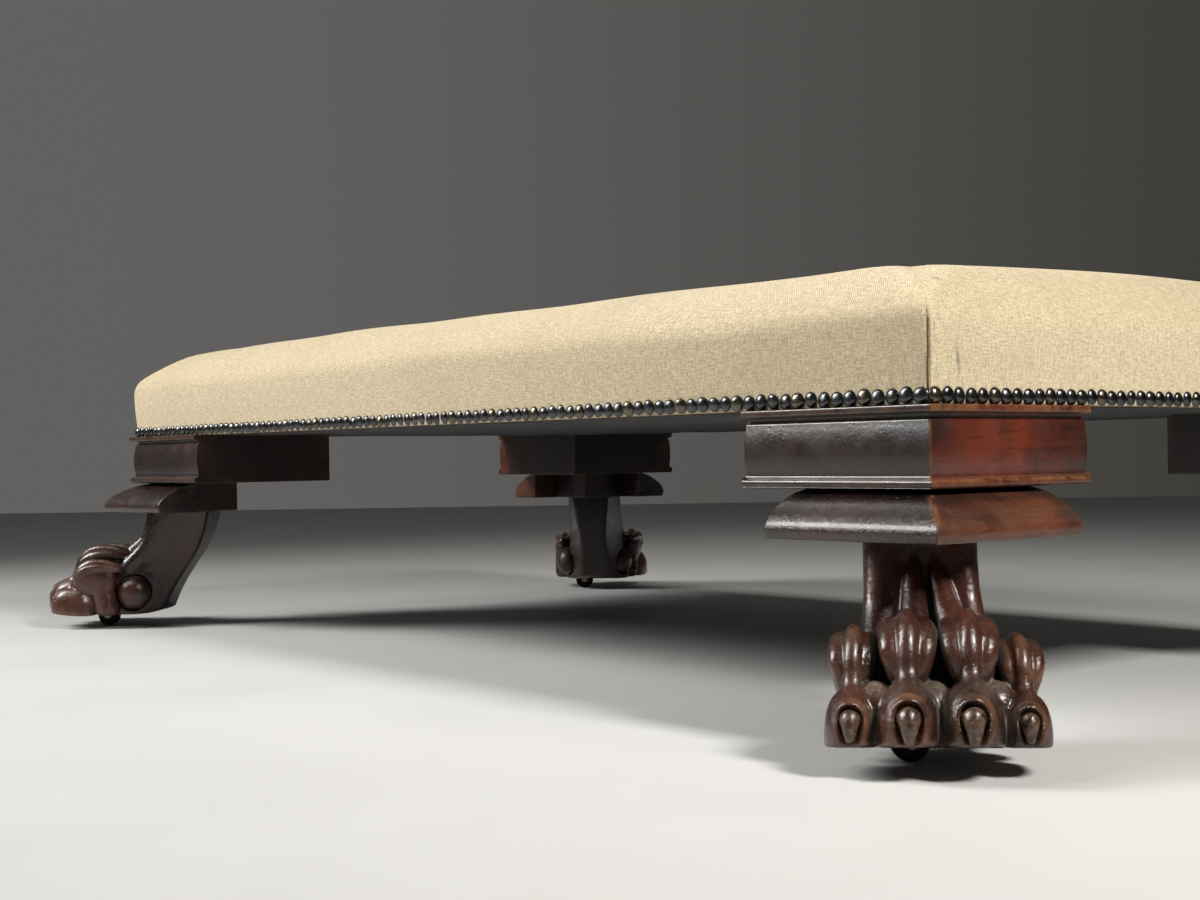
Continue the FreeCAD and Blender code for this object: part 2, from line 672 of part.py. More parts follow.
# Corner block, its facings, and the pad below
def mitred_moulding(name, profile, start, length, back, along_x):
    """Moulding along an outer side of a corner, its profile's face outward, mitred at the outer corner."""
    body = new_body(name)
    section = new_sketch(body, "YZ_Plane" if along_x else "XZ_Plane")
    draw_outline(section, profile)
    lift(section, start if along_x else -start)
    pad(body, section, length, reverse=not along_x)
    mitre = new_sketch(body, "XY_Plane")
    beyond = start - (back - start)
    far = back + (back - start)
    if along_x:
        draw_outline(mitre, [(beyond, beyond), (far, far), (beyond, far)])
    else:
        draw_outline(mitre, [(beyond, beyond), (far, beyond), (far, far)])
    pocket(body, mitre, reverse=True)
    return body


def frieze_profile():
    """Section of a facing: distance behind the fillet face, and height."""
    foot = PAD_TOP
    top = RAIL_FOOT
    frieze_foot = foot + size.bead_height
    fillet_foot = top - size.fillet_height
    frieze_top = fillet_foot - size.quirk_height
    face = ZERO
    return [
        (size.bead_bulge, foot), (size.facing_thickness, foot), (size.facing_thickness, top), (face, top),
        (face, fillet_foot), (size.quirk_depth, fillet_foot), (size.quirk_depth, frieze_top),
        (size.frieze_inset, frieze_top, size.frieze_bulge), (size.frieze_inset, frieze_foot),
        (size.bead_bulge, frieze_foot, size.bead_bulge),
    ]


def thumb_profile():
    """Section of a thumb moulding: rounded nose below, long swelling slope above."""
    nose = -size.pad_overhang
    back = nose + size.thumb_width
    shoulder = LEG_TOP + size.nose_height
    return [
        (nose + size.nose_bulge, LEG_TOP), (back, LEG_TOP), (back, PAD_TOP),
        (nose + size.slope_run, PAD_TOP, size.slope_bulge),
        (nose + size.nose_bulge, shoulder, size.nose_bulge),
    ]


def square_block(name, near, far, foot, height, hole_height):
    """Square core with a dowel hole, in a corner's frame."""
    body = new_body(name)
    outline = new_sketch(body, "XY_Plane")
    draw_outline(outline, rectangle(near, near, far, far))
    lift(outline, foot)
    pad(body, outline, height)
    hole = new_sketch(body, "XY_Plane")
    draw_circle(hole, size.dowel_seat, size.dowel_seat, size.dowel_radius + size.glue_clearance)
    lift(hole, foot)
    pocket(body, hole, hole_height, reverse=True)
    return body


def corner_woodwork(corner, side_x, side_y, turn, along_x, along_y):
    room = size.glue_clearance
    depth = size.dowel_depth + room
    block = square_block(
        f"{corner}_block", size.facing_thickness, size.block_width, PAD_TOP, size.block_height, depth)
    core_near = size.thumb_width - size.pad_overhang
    pad_core = square_block(
        f"{corner}_pad_core", core_near, size.pad_core_reach, LEG_TOP, size.pad_height, size.pad_height)
    pieces = [(block, f"{corner}_block"), (pad_core, f"{corner}_pad_core")]
    nose = -size.pad_overhang
    for side, is_x in ((along_x, True), (along_y, False)):
        name = f"{corner}_frieze_{side}"
        facing = mitred_moulding(name, frieze_profile(), ZERO, size.block_width, size.facing_thickness, is_x)
        pieces.append((facing, name))
        name = f"{corner}_thumb_{side}"
        length = size.pad_overhang + size.pad_reach
        back = nose + size.thumb_width
        thumb = mitred_moulding(name, thumb_profile(), nose, length, back, is_x)
        pieces.append((thumb, name))
    for piece, name in pieces:
        place_at_corner(piece, side_x, side_y, turn)
        keep(piece, name)


def leg_dowels():
    dowels = []
    for corner, side_x, side_y, turn, along_x, along_y in CORNERS:
        dowel = doc.addObject("Part::Cylinder", f"{corner}_dowel")
        bind(dowel, Radius=size.dowel_radius, Height=size.pad_height + size.dowel_depth * 2)
        x = (HALF_LENGTH - size.dowel_seat) * side_x
        y = (HALF_WIDTH - size.dowel_seat) * side_y
        place(dowel, x, y, LEG_TOP - size.dowel_depth)
        dowels.append(dowel)
    group("leg_dowels", dowels)


# Carved leg, in its own frame with X outward
def smooth_stations(stations, steps):
    """Rows of measures with further rows between them, on one smooth curve through each measure."""
    smooth = []
    last = len(stations) - 1
    for i in range(last):
        rows = [stations[max(i - 1, 0)], stations[i], stations[i + 1], stations[min(i + 2, last)]]
        for step in range(steps):
            f = step / steps
            row = []
            for a, b, c, d in zip(*rows):
                bend = a - 2.5 * b + 2 * c - d / 2
                twist = (d - a) / 2 + 1.5 * (b - c)
                row.append(b + (c - a) / 2 * f + bend * f ** 2 + twist * f ** 3)
            smooth.append(row)
    return smooth + [list(stations[last])]


def leg_section(back, front, width, height):
    """Level rounded rectangle of the shank or foot, between its inward and outward reach."""
    ring = rounded_ring((back + front) / 2, width / 2, size.shank_rounding.value, height)
    ring.translate(FreeCAD.Vector((front - back) / 2, 0, 0))
    return ring


def leg_trunk():
    """Shank that sweeps outward into the foot."""
    sole = size.sole_height
    stations = [
        (size.sole_back, size.sole_front, size.sole_width, sole),
        (size.foot_back, size.foot_front, size.foot_width, sole + size.foot_rise),
        (size.instep_back, size.instep_front, size.instep_width, sole + size.instep_rise),
        (size.ankle_back, -size.ankle_front, size.ankle_width, sole + size.ankle_rise),
        (size.shank_back, -size.shank_front, size.shank_width, LEG_TOP),
    ]
    rows = [[measure.value for measure in station] for station in stations]
    return Part.makeLoft([leg_section(*row) for row in smooth_stations(rows, TRUNK_STEPS)], True, True)


def leg_point(out, side, rise):
    return FreeCAD.Vector(out.value, side.value, (size.sole_height + rise).value)


def toe_section(out, side, half, rise):
    """Upright arch across a toe: level sole, two swelling sides and a rounded top."""
    sole = size.sole_height.value

    def at(across, up):
        return FreeCAD.Vector(out, side + half * across, sole + rise * up)

    edges = [
        Part.makeLine(at(-TOE_FOOT, 0), at(TOE_FOOT, 0)),
        Part.Arc(at(TOE_FOOT, 0), at(1, TOE_WAIST), at(TOE_SHOULDER, TOE_SPRING)).toShape(),
        Part.Arc(at(TOE_SHOULDER, TOE_SPRING), at(0, 1), at(-TOE_SHOULDER, TOE_SPRING)).toShape(),
        Part.Arc(at(-TOE_SHOULDER, TOE_SPRING), at(-1, TOE_WAIST), at(-TOE_FOOT, 0)).toShape(),
    ]
    return Part.Wire(edges)


def toe_stations():
    """Outward place, half width and rise of a middle toe, from its root to its tip."""
    return [
        (size.toe_root_out.value, size.toe_root_half.value, size.toe_root_rise.value),
        (size.knuckle_out.value, size.knuckle_half.value, size.knuckle_rise.value),
        (size.brow_out.value, size.brow_half.value, size.brow_rise.value),
        (size.neck_out.value, size.neck_half.value, size.neck_rise.value),
        (size.toe_end_out.value, size.toe_end_half.value, size.toe_end_rise.value),
        (size.toe_tip_out.value, size.toe_tip_half.value, size.toe_tip_rise.value),
    ]


def toe_and_claw(share, setback, root_out, knuckle_side, tip_side):
    """Lofted toe with its claw, at its own share of a middle toe's size."""
    stations = [(out * share - setback, half * share, rise * share) for out, half, rise in toe_stations()]
    stations[0] = (root_out, stations[0][1], stations[0][2])
    knuckle_out = stations[1][0]
    tip_out = stations[-1][0]
    fan = (tip_side - knuckle_side) / (tip_out - knuckle_out)
    sections = [
        toe_section(out, knuckle_side + fan * (out - knuckle_out), half, rise)
        for out, half, rise in smooth_stations(stations, TOE_STEPS)
    ]
    end_out, end_half, end_rise = stations[-2]
    length = size.claw_length.value * share
    sole = size.sole_height.value
    root = FreeCAD.Vector((end_out + tip_out) / 2, tip_side, sole + end_rise * CLAW_ROOT)
    way = FreeCAD.Vector((tip_out - end_out) / 2, 0, -length)
    claw = Part.makeCone(size.claw_radius.value * share, size.claw_tip_radius.value, length, root, way)
    return [Part.makeLoft(sections, True, True), claw]


def tendon(knuckle_side):
    """Tapering tendon from the front of the shank down to a middle knuckle."""
    top = leg_point(-size.shank_front, size.tendon_top_side * knuckle_side, size.tendon_rise)
    foot = leg_point(size.knuckle_out, size.knuckle_side * knuckle_side, size.tendon_foot_rise)
    way = foot - top
    return Part.makeCone(size.tendon_top_radius.value, size.tendon_radius.value, way.Length, top, way)


def paw_pieces(mirror):
    """The two toes, the tendon and the heel pad on one side of the leg's plane."""
    pieces = toe_and_claw(
        1, 0, size.toe_root_out.value, size.knuckle_side.value * mirror, size.toe_tip_side.value * mirror)
    pieces += toe_and_claw(
        size.side_toe_share.value, size.side_toe_setback.value, size.side_toe_root_out.value,
        size.side_knuckle_side.value * mirror, size.side_toe_tip_side.value * mirror)
    pieces.append(tendon(mirror))
    centre = leg_point(-size.heel_ball_back, size.heel_ball_side * mirror, size.heel_ball_rise)
    pieces.append(Part.makeSphere(size.heel_ball_radius.value, centre))
    return pieces


def leg_solid():
    """Trunk, toes and heel pads as one carving, with its flat sole, castor pocket and dowel hole."""
    carving = leg_trunk().fuse(paw_pieces(1) + paw_pieces(-1))
    sole = size.sole_height.value
    room = size.glue_clearance.value
    span = (size.shank_back + size.toe_tip_out).value * 4
    below = Part.makeBox(span, span, sole, FreeCAD.Vector(-span / 2, -span / 2, 0))
    swing = math.hypot((size.castor_trail + size.wheel_radius).value, size.wheel_width.value / 2)
    axis = FreeCAD.Vector(size.castor_out.value, 0, 0)
    pocket_radius = swing + size.pocket_clearance.value
    castor_pocket = Part.makeCylinder(pocket_radius, POCKET_TOP.value, axis)
    depth = size.dowel_depth.value + room
    hole_foot = FreeCAD.Vector(-size.dowel_seat.value / HALF_ROOT, 0, LEG_TOP.value - depth)
    hole = Part.makeCylinder(size.dowel_radius.value + room, depth, hole_foot)
    return carving.cut([below, castor_pocket, hole]).removeSplitter().Solids[0]


def paw_legs():
    solid = leg_solid()
    for corner, side_x, side_y, turn, along_x, along_y in CORNERS:
        leg = shape_piece(f"{corner}_paw_leg", solid.copy())
        place_at_corner(leg, side_x, side_y, turn + OUTWARD_TURN)


# Castors
def swivel_place(side_x, side_y):
    out = size.castor_out * HALF_ROOT
    return (HALF_LENGTH + out) * side_x, (HALF_WIDTH + out) * side_y


def castor_plate(name):
    """Round plate with a bearing collar and a riveted stud, and its screw holes."""
    body = new_body(name)
    profile = new_sketch(body, "XZ_Plane")
    crown_foot = CROWN_FOOT - size.bearing_clearance
    collar_foot = PLATE_FOOT - size.collar_height
    head_foot = crown_foot - size.stud_head_height
    draw_outline(profile, [
        (ZERO, head_foot), (size.stud_head_radius, head_foot),
        (size.stud_head_radius, crown_foot), (size.stud_radius, crown_foot), (size.stud_radius, collar_foot),
        (size.collar_radius, collar_foot), (size.collar_radius, PLATE_FOOT), (size.plate_radius, PLATE_FOOT),
        (size.plate_radius, POCKET_TOP), (ZERO, POCKET_TOP),
    ])
    revolve(body, profile)
    hole = new_sketch(body, "XY_Plane")
    draw_circle(hole, size.screw_circle, ZERO, size.screw_radius + size.screw_clearance)
    drilled = pocket(body, hole, reverse=True)
    doc.recompute()
    holes = body.newObject("PartDesign::PolarPattern", f"{name}_holes")
    holes.Originals = [drilled]
    holes.Axis = (hole, ["N_Axis"])
    holes.Angle = 360
    bind(holes, Occurrences=size.screw_count)
    body.Tip = holes
    return body


def castor_fork(name):
    """Crown and two tapering cheeks with a round foot, bored for the stud and the axle."""
    body = new_body(name)
    side = new_sketch(body, "XZ_Plane")
    axle_near = size.castor_trail - size.cheek_foot_half
    axle_far = size.castor_trail + size.cheek_foot_half
    draw_outline(side, [
        (-size.crown_back, CROWN_TOP), (-size.crown_back, CROWN_FOOT), (size.cheek_root, CROWN_FOOT),
        (axle_near, size.wheel_radius, size.cheek_foot_drop), (axle_far, size.wheel_radius),
        (size.crown_front, CROWN_FOOT), (size.crown_front, CROWN_TOP),
    ])
    gap = size.wheel_width + size.side_clearance * 2
    pad(body, side, gap + size.cheek_thickness * 2, both_ways=True)
    slot = new_sketch(body, "XZ_Plane")
    beyond = size.crown_back + size.crown_front
    draw_outline(slot, rectangle(-beyond, ZERO, beyond, CROWN_FOOT))
    pocket(body, slot, gap, both_ways=True)
    bore = new_sketch(body, "XY_Plane")
    draw_circle(bore, ZERO, ZERO, size.stud_radius + size.running_clearance)
    pocket(body, bore, reverse=True)
    axle_bore = new_sketch(body, "XZ_Plane")
    bore_radius = size.axle_radius + size.running_clearance / 2
    draw_circle(axle_bore, size.castor_trail, size.wheel_radius, bore_radius)
    pocket(body, axle_bore, both_ways=True)
    return body


def wheel_sketch(body):
    """Sketch whose vertical axis is the axle."""
    sketch = new_sketch(body, "XY_Plane")
    sketch.setExpression("AttachmentOffset.Base.x", size.castor_trail.text)
    lift(sketch, size.wheel_radius)
    return sketch


def castor_axle(name):
    body = new_body(name)
    half = size.wheel_width / 2 + size.side_clearance + size.cheek_thickness
    tip = half + size.axle_head_height
    profile = wheel_sketch(body)
    draw_outline(profile, [
        (ZERO, -tip), (size.axle_head_radius, -tip), (size.axle_head_radius, -half),
        (size.axle_radius, -half), (size.axle_radius, half),
        (size.axle_head_radius, half), (size.axle_head_radius, tip), (ZERO, tip),
    ])
    revolve(body, profile)
    return body


def castor_wheel(name):
    body = new_body(name)
    half = size.wheel_width / 2
    bore = size.axle_radius + size.running_clearance
    rim = size.wheel_radius - size.wheel_chamfer
    flat = half - size.wheel_chamfer
    profile = wheel_sketch(body)
    draw_outline(profile, [
        (bore, -half), (rim, -half), (size.wheel_radius, -flat),
        (size.wheel_radius, flat), (rim, half), (bore, half),
    ])
    revolve(body, profile)
    return body


def castors():
    heading = size.castor_heading.value
    for corner, side_x, side_y, turn, along_x, along_y in CORNERS:
        x, y = swivel_place(side_x, side_y)
        plate = castor_plate(f"{corner}_castor_plate")
        place(plate, x, y, ZERO, turn + OUTWARD_TURN)
        keep(plate, f"{corner}_castor_plate")
        for make, kind in ((castor_fork, "fork"), (castor_axle, "axle"), (castor_wheel, "wheel")):
            name = f"{corner}_castor_{kind}"
            piece = make(name)
            place(piece, x, y, ZERO, heading)
            keep(piece, name)


def castor_screws():
    """Screws of the four plates, heads under the plate and shanks up into the paw."""
    shank = Part.makeCylinder(size.screw_radius.value, (size.plate_thickness + size.screw_length).value)
    head = Part.makeCylinder(size.screw_head_radius.value, size.screw_head_height.value)
    head.translate(FreeCAD.Vector(0, 0, -size.screw_head_height.value))
    screw = head.fuse(shank).removeSplitter()
    screw.translate(FreeCAD.Vector(size.screw_circle.value, 0, PLATE_FOOT.value))
    count = int(size.screw_count.value)
    screws = []
    for corner, side_x, side_y, turn, along_x, along_y in CORNERS:
        x, y = swivel_place(side_x, side_y)
        for i in range(count):
            copy = screw.copy()
            copy.rotate(FreeCAD.Vector(), FreeCAD.Vector(0, 0, 1), turn + OUTWARD_TURN + 360 * i / count)
            copy.translate(FreeCAD.Vector(x.value, y.value, 0))
            screws.append(copy)
    shape_piece("castor_screws", Part.makeCompound(screws))


def build():
    long_rail("front_rail", -1)
    long_rail("back_rail", 1)
    short_rail("left_rail", -1)
    short_rail("right_rail", 1)
    corner_braces()
    webbing()
    base_hessian()
    dust_cover()
    stuffing_pad()
    linen_cover()
    dome_nails()
    for corner in CORNERS:
        corner_woodwork(*corner)
    leg_dowels()
    paw_legs()
    castors()
    castor_screws()


def write_parts():
    """Check every object and write each sub-part to its own file."""
    doc.recompute()
    failed = [o.Name for o in doc.Objects if "Invalid" in o.State or "Error" in o.State]
    unsound = [p.Label for p in parts if p.Shape.isNull() or not p.Shape.isValid()]
    if failed or unsound:
        raise RuntimeError(f"failed objects {failed}, unsound shapes {unsound}")
    os.makedirs("parts", exist_ok=True)
    for piece in parts:
        piece.Shape.exportStep(f"parts/{piece.Label}.step")


build()
write_parts()
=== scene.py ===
"""Dresses the footstool: linen seat, dome nails, polished mahogany mouldings, carved paws and castors.

The frame is the model's own: X along the long side, Y along the short side, Z up, in metres. Carving and
mouldings are drawn in millimetres in a corner's own frame and scaled down when their meshes are made.
"""
import bpy
import bmesh
import copy
import math
import numpy as np
from mathutils import Matrix, Vector


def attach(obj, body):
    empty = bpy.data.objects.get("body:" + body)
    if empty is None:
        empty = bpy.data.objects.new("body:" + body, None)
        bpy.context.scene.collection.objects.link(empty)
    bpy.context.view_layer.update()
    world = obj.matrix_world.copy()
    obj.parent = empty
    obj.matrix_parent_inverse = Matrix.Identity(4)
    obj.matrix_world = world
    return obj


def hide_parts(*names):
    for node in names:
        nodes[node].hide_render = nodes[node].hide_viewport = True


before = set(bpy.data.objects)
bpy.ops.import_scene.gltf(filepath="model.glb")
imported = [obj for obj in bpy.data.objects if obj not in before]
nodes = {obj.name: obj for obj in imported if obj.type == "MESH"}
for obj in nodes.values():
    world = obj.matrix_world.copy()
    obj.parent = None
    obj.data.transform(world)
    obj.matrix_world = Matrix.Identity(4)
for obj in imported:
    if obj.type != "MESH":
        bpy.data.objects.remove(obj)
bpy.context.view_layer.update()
random = np.random.default_rng(7)

MM = 0.001
FULL_TURN = 2 * math.pi
HALF_LENGTH = 636.0
HALF_WIDTH = 372.5
BLOCK_WIDTH = 180.0
THUMB_LENGTH = 133.0
LEG_TOP = 141.0
PAD_TOP = 176.0
RAIL_FOOT = 233.0
SOLE = 16.0
OUTWARD_TURN = 225

# Corners: sides along X and Y, turn of the corner's frame, and the sides that its two axes run along
CORNERS = {
    "front_left": (-1, -1, 0, "front", "left"),
    "front_right": (1, -1, 90, "right", "front"),
    "back_right": (1, 1, 180, "back", "right"),
    "back_left": (-1, 1, 270, "left", "back"),
}


# Meshes and pieces
def add_object(name, data, place=None):
    """Object in the scene, set at its place."""
    item = bpy.data.objects.new(name, data)
    bpy.context.scene.collection.objects.link(item)
    if place is not None:
        item.matrix_world = place
    return item


def make_mesh(name, points, faces):
    """Smooth mesh from points in millimetres."""
    mesh = bpy.data.meshes.new(name)
    mesh.from_pydata([tuple(p) for p in points * MM], [], [tuple(f) for f in faces])
    mesh.validate()
    mesh.update()
    mesh.polygons.foreach_set("use_smooth", [True] * len(mesh.polygons))
    return mesh


def stool_piece(name, mesh, place=None):
    """Piece that rides on the stool's own body."""
    piece = add_object(name, mesh, place)
    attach(piece, "stool")
    return piece


def add_marks(piece, **marks):
    """Numbers on each point, for the materials."""
    for name, values in marks.items():
        layer = piece.data.attributes.new(name, "FLOAT", "POINT")
        layer.data.foreach_set("value", np.asarray(values, np.float32))


def wooden_piece(name, mesh, place, material, replaced, **marks):
    """Mahogany piece in place of a node."""
    piece = stool_piece(name, mesh, place)
    add_marks(piece, **marks)
    mesh.materials.append(material)
    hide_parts(replaced)


def corner_place(corner, extra_turn=0):
    side_x, side_y, turn = CORNERS[corner][:3]
    spot = Matrix.Translation((side_x * HALF_LENGTH * MM, side_y * HALF_WIDTH * MM, 0))
    return spot @ Matrix.Rotation(math.radians(turn + extra_turn), 4, "Z")


def steps(low, high, size):
    return np.linspace(low, high, max(2, int(round(abs(high - low) / size)) + 1))


def smooth_rise(values, low, high):
    share = np.clip((values - low) / (high - low), 0, 1)
    return share * share * (3 - 2 * share)


def soft_min(a, b, blend):
    """Smaller of two distances, with a rounded join."""
    share = np.clip(0.5 + 0.5 * (b - a) / blend, 0, 1)
    return b * (1 - share) + a * share - blend * share * (1 - share)


def tube(start, rings, sides):
    """Faces between the rings of a tube whose points run on from the start."""
    faces = []
    for low in range(start, start + (rings - 1) * sides, sides):
        for k in range(sides):
            m = (k + 1) % sides
            faces.append((low + k, low + m, low + sides + m, low + sides + k))
    return faces


# Materials
class Value:
    """A node's output, which can be multiplied and added to."""

    def __init__(self, tree, socket):
        self.tree, self.socket = tree, socket

    def __mul__(self, other):
        return self.tree.math("MULTIPLY", self, other)

    def __add__(self, other):
        return self.tree.math("ADD", self, other)


class Tree:
    """A node tree, with short calls for the nodes that it uses."""

    def __init__(self, tree):
        self.tree = tree
        self.spot = self.node("TexCoord", out="Object")

    def node(self, kind, inputs=(), out=0, **settings):
        """Output of a new node."""
        made = self.tree.nodes.new("ShaderNode" + kind)
        for name, value in settings.items():
            setattr(made, name, value)
        for key, value in dict(inputs).items():
            self.feed(made.inputs[key], value)
        return Value(self, made.outputs[out])

    def feed(self, socket, value):
        if isinstance(value, Value):
            self.tree.links.new(value.socket, socket)
        elif socket.type == "RGBA":
            socket.default_value = (*value, 1)
        else:
            socket.default_value = value

    def math(self, operation, *values):
        return self.node("Math", enumerate(values), operation=operation)

    def wave(self, place, pitch):
        return self.math("SINE", place * (FULL_TURN / pitch))

    def shifted(self, shift):
        return self.node("VectorMath", {0: self.spot, 1: shift}, operation="ADD")

    def split(self, source):
        return [self.node("SeparateXYZ", {0: source}, axis) for axis in (0, 1)]

    def scaled(self, scale, source=None, turn=(0, 0, 0)):
        return self.node("Mapping", {"Vector": source or self.spot, "Rotation": turn, "Scale": scale})

    def noise(self, scale, where=None, detail=4.0, roughness=0.55, distortion=0.0):
        inputs = {"Vector": where or self.spot, "Scale": scale, "Detail": detail, "Roughness": roughness}
        return self.node("TexNoise", inputs | {"Distortion": distortion}, "Fac")

    def ramp(self, value, low, high, to_low=0.0, to_high=1.0):
        inputs = enumerate((value, low, high, to_low, to_high))
        return self.node("MapRange", inputs, interpolation_type="SMOOTHSTEP")

    def mix(self, share, first, second):
        return self.node("Mix", {0: share, 6: first, 7: second}, 2, data_type="RGBA")

    def layers(self, colour, *coats):
        """Colour with further ones laid over it, each by its share."""
        for share, tone in coats:
            colour = self.mix(share, colour, tone)
        return colour

    def attribute(self, name):
        return self.node("Attribute", out="Fac", attribute_name=name)

    def bump(self, height, distance, strength=1.0, after=None):
        inputs = {"Height": height, "Distance": distance, "Strength": strength}
        return self.node("Bump", inputs | ({"Normal": after} if after else {}))


class Shader(Tree):
    """A material's node tree."""

    def __init__(self, name):
        self.material = bpy.data.materials.new(name)
        self.material.use_nodes = True
        super().__init__(self.material.node_tree)

    def set(self, **values):
        for name, value in values.items():
            self.feed(self.tree.nodes["Principled BSDF"].inputs[name.replace("_", " ")], value)

    def finish(self, colour, roughness, normal=None):
        self.set(Base_Color=colour, Roughness=roughness)
        if normal:
            self.set(Normal=normal)
        return self.material


def hairlines(shader, where, turn, keep):
    """Fine straight scratches lying one way, in patches."""
    drawn_out = shader.scaled((0.02, 1, 1), shader.scaled((1, 1, 1), where, turn))
    line = shader.ramp(shader.noise(700, drawn_out, 1), 0.66, 0.74)
    return line * shader.ramp(shader.noise(23, where, 3), keep, keep + 0.08)


def mahogany(name, grain, tones, wear, rough_low, relief, scratched=0.75, coat=0.24):
    """Old polished mahogany: streaked grain, worn arrises, dust in the hollows, scratches and dents, and
    near-black painted shade where its pieces mark it.
    """
    deep, middle, warm = tones
    shader = Shader(name)
    where = shader.shifted(shader.node("ObjectInfo", out="Random") * 3.0)
    turned = shader.scaled((1, 1, 1), where, (0.7, 0.4, 1.1))
    along = shader.scaled(grain, where)
    streak = shader.ramp(shader.noise(90, along, 5, 0.6, 0.4), 0.34, 0.68)
    cloud = shader.ramp(shader.noise(10, where, 4, 0.6), 0.38, 0.66)
    pores = shader.ramp(shader.noise(420, along, 2, 0.5), 0.56, 0.7)
    darkened = shader.ramp(shader.noise(13, turned, 4, 0.55), 0.5, 0.7)
    # Darker patches towards the top near the mitres
    smoked = shader.attribute("smoked") * shader.ramp(shader.noise(26, where), 0.3, 0.6, 0.55, 1)
    patch = shader.noise(60, where, 5, 0.65)
    handled = shader.attribute("rubbed") * shader.ramp(patch, 0.36, 0.64, 0.1, 0.95)
    worn = shader.ramp(shader.attribute("edge"), 0.35, 0.95) * wear * shader.ramp(patch, 0.38, 0.6)
    bared = shader.mix(shader.noise(260, along, 3), (0.095, 0.035, 0.014), (0.21, 0.082, 0.030))
    scuffed = shader.ramp(shader.noise(240, where, 5, 0.65), 0.34, 0.66)
    horn = shader.mix(scuffed, (0.018, 0.010, 0.0075), (0.105, 0.066, 0.045))
    # Near-black painted shade in the paw's folds (grime there too), on faces turned back and under the
    # mouldings
    grime = shader.attribute("grime")
    speck = shader.ramp(shader.noise(300, where, 2, 0.7), 0.42, 0.7)
    dusty = shader.attribute("cavity") * shader.ramp(speck, 0, 1, 0.45, 1)
    cells = shader.node("TexVoronoi", {"Vector": where, "Scale": 105}, "Distance", feature="F1")
    dent = shader.ramp(cells, 0.09, 0.04) * shader.ramp(shader.noise(31, where, 2), 0.62, 0.68)
    crossing = hairlines(shader, where, (0.2, -0.9, 1.1), scratched + 0.02)
    scratch = shader.math("MAXIMUM", hairlines(shader, where, (0.5, 0.7, 0.4), scratched), crossing)
    nicked = shader.math("MAXIMUM", scratch, dent)
    colour = shader.layers(
        deep, (streak, middle), (cloud, warm), (pores * 0.45, deep), (darkened * 0.7, deep), (smoked, deep),
        (handled, (0.168, 0.084, 0.044)), (worn, bared), (shader.attribute("horn") * 0.85, horn),
        (grime, (0.006, 0.0045, 0.004)), (dusty * 0.66, (0.20, 0.17, 0.13)),
        (nicked * 0.14, (0.13, 0.095, 0.07)))
    normal = shader.bump(shader.noise(75, where, 4, 0.5), 0.0005 * relief, 0.5)
    normal = shader.bump(shader.noise(330, where, 4, 0.65), 0.0004 * relief, 0.9, normal)
    normal = shader.bump(nicked * -1, 0.0004, 0.7, normal)
    rough = shader.ramp(shader.noise(45, where), 0.3, 0.75, rough_low, rough_low + 0.16)
    shader.set(Coat_Weight=coat, Coat_Roughness=0.16, Specular_IOR_Level=0.42)
    return shader.finish(colour, rough + (dusty + grime) * 0.45 + nicked * 0.2, normal)


def frame_wood():
    """Sawn secondary wood of the hidden frame."""
    shader = Shader("frame_beech")
    along = shader.scaled((0.05, 1, 1))
    streak = shader.ramp(shader.noise(60, along, 5, 0.6, 0.3), 0.35, 0.68)
    normal = shader.bump(shader.noise(300, along, 3), 0.0006, 0.5)
    return shader.finish(shader.mix(streak, (0.23, 0.135, 0.065), (0.42, 0.27, 0.14)), 0.75, normal)


def linen():
    """Oatmeal twill: diagonal ribs with painted shade in their valleys, small slubs both ways, soft nap and a
    little soiling.
    """
    shader = Shader("linen_twill")
    sheet = shader.node("TexCoord", out="UV")
    across, down = shader.split(sheet)
    diagonal = across + down + shader.noise(260, sheet, 3) * 0.0011
    weave = shader.wave(diagonal, 0.0019) + shader.wave(across, 0.00095) * shader.wave(down, 0.00105) * 0.5
    slub = shader.noise(1100, shader.scaled((0.09, 1, 1), sheet), 3)
    thread = slub + shader.noise(1100, shader.scaled((1, 0.09, 1), sheet), 3)
    tone = shader.ramp(thread + shader.noise(430, sheet, 3, 0.7) * 1.1, 1.36, 1.74)
    # Painted shade in the valleys of the weave
    valley_shade = shader.ramp(weave, 0.1, -1.3, 0, 0.6)
    soil = shader.ramp(shader.noise(6, None, 5, 0.62), 0.46, 0.75, 0, 0.3)
    # The shade mark is painted shade in the corner pleats; the other mark is a smear and nick on the cloth
    colour = shader.layers(
        (0.475, 0.385, 0.243), (tone, (0.745, 0.632, 0.43)), (valley_shade, (0.28, 0.215, 0.134)),
        (soil, (0.385, 0.30, 0.20)), (shader.attribute("mark"), (0.075, 0.065, 0.06)),
        (shader.attribute("shade"), (0.16, 0.12, 0.08)))
    normal = shader.bump(weave + thread * 0.7, 0.00035, 0.6)
    normal = shader.bump(shader.noise(2600, sheet, 4, 0.7), 0.0006, 0.35, normal)
    shader.set(Sheen_Weight=0.35, Sheen_Roughness=0.45, Sheen_Tint=(1.0, 0.94, 0.82), Specular_IOR_Level=0.2)
    return shader.finish(colour, 0.92, normal)


def plain_weave(shader, pitch, depth, strength):
    """Relief of yarns that cross each other."""
    across, down = shader.split(shader.spot)
    return shader.bump(shader.wave(across, pitch) * shader.wave(down, pitch), depth, strength)


def dark_cloth():
    """Plain-woven dark dust cover with a little pale dust."""
    shader = Shader("dust_cloth_weave")
    dust = shader.ramp(shader.noise(11, None, 5, 0.65), 0.45, 0.8, 0, 0.5)
    yarn = shader.mix(shader.noise(500, None, 3), (0.028, 0.029, 0.031), (0.062, 0.063, 0.066))
    colour = shader.mix(dust, yarn, (0.12, 0.115, 0.108))
    return shader.finish(colour, 0.95, plain_weave(shader, 0.0012, 0.0003, 0.6))


def coarse_cloth(name, dark, pale, pitch):
    """Jute and hessian: coarse plain weave."""
    shader = Shader(name)
    colour = shader.mix(shader.noise(300), dark, pale)
    return shader.finish(colour, 0.95, plain_weave(shader, pitch, 0.0006, 0.7))


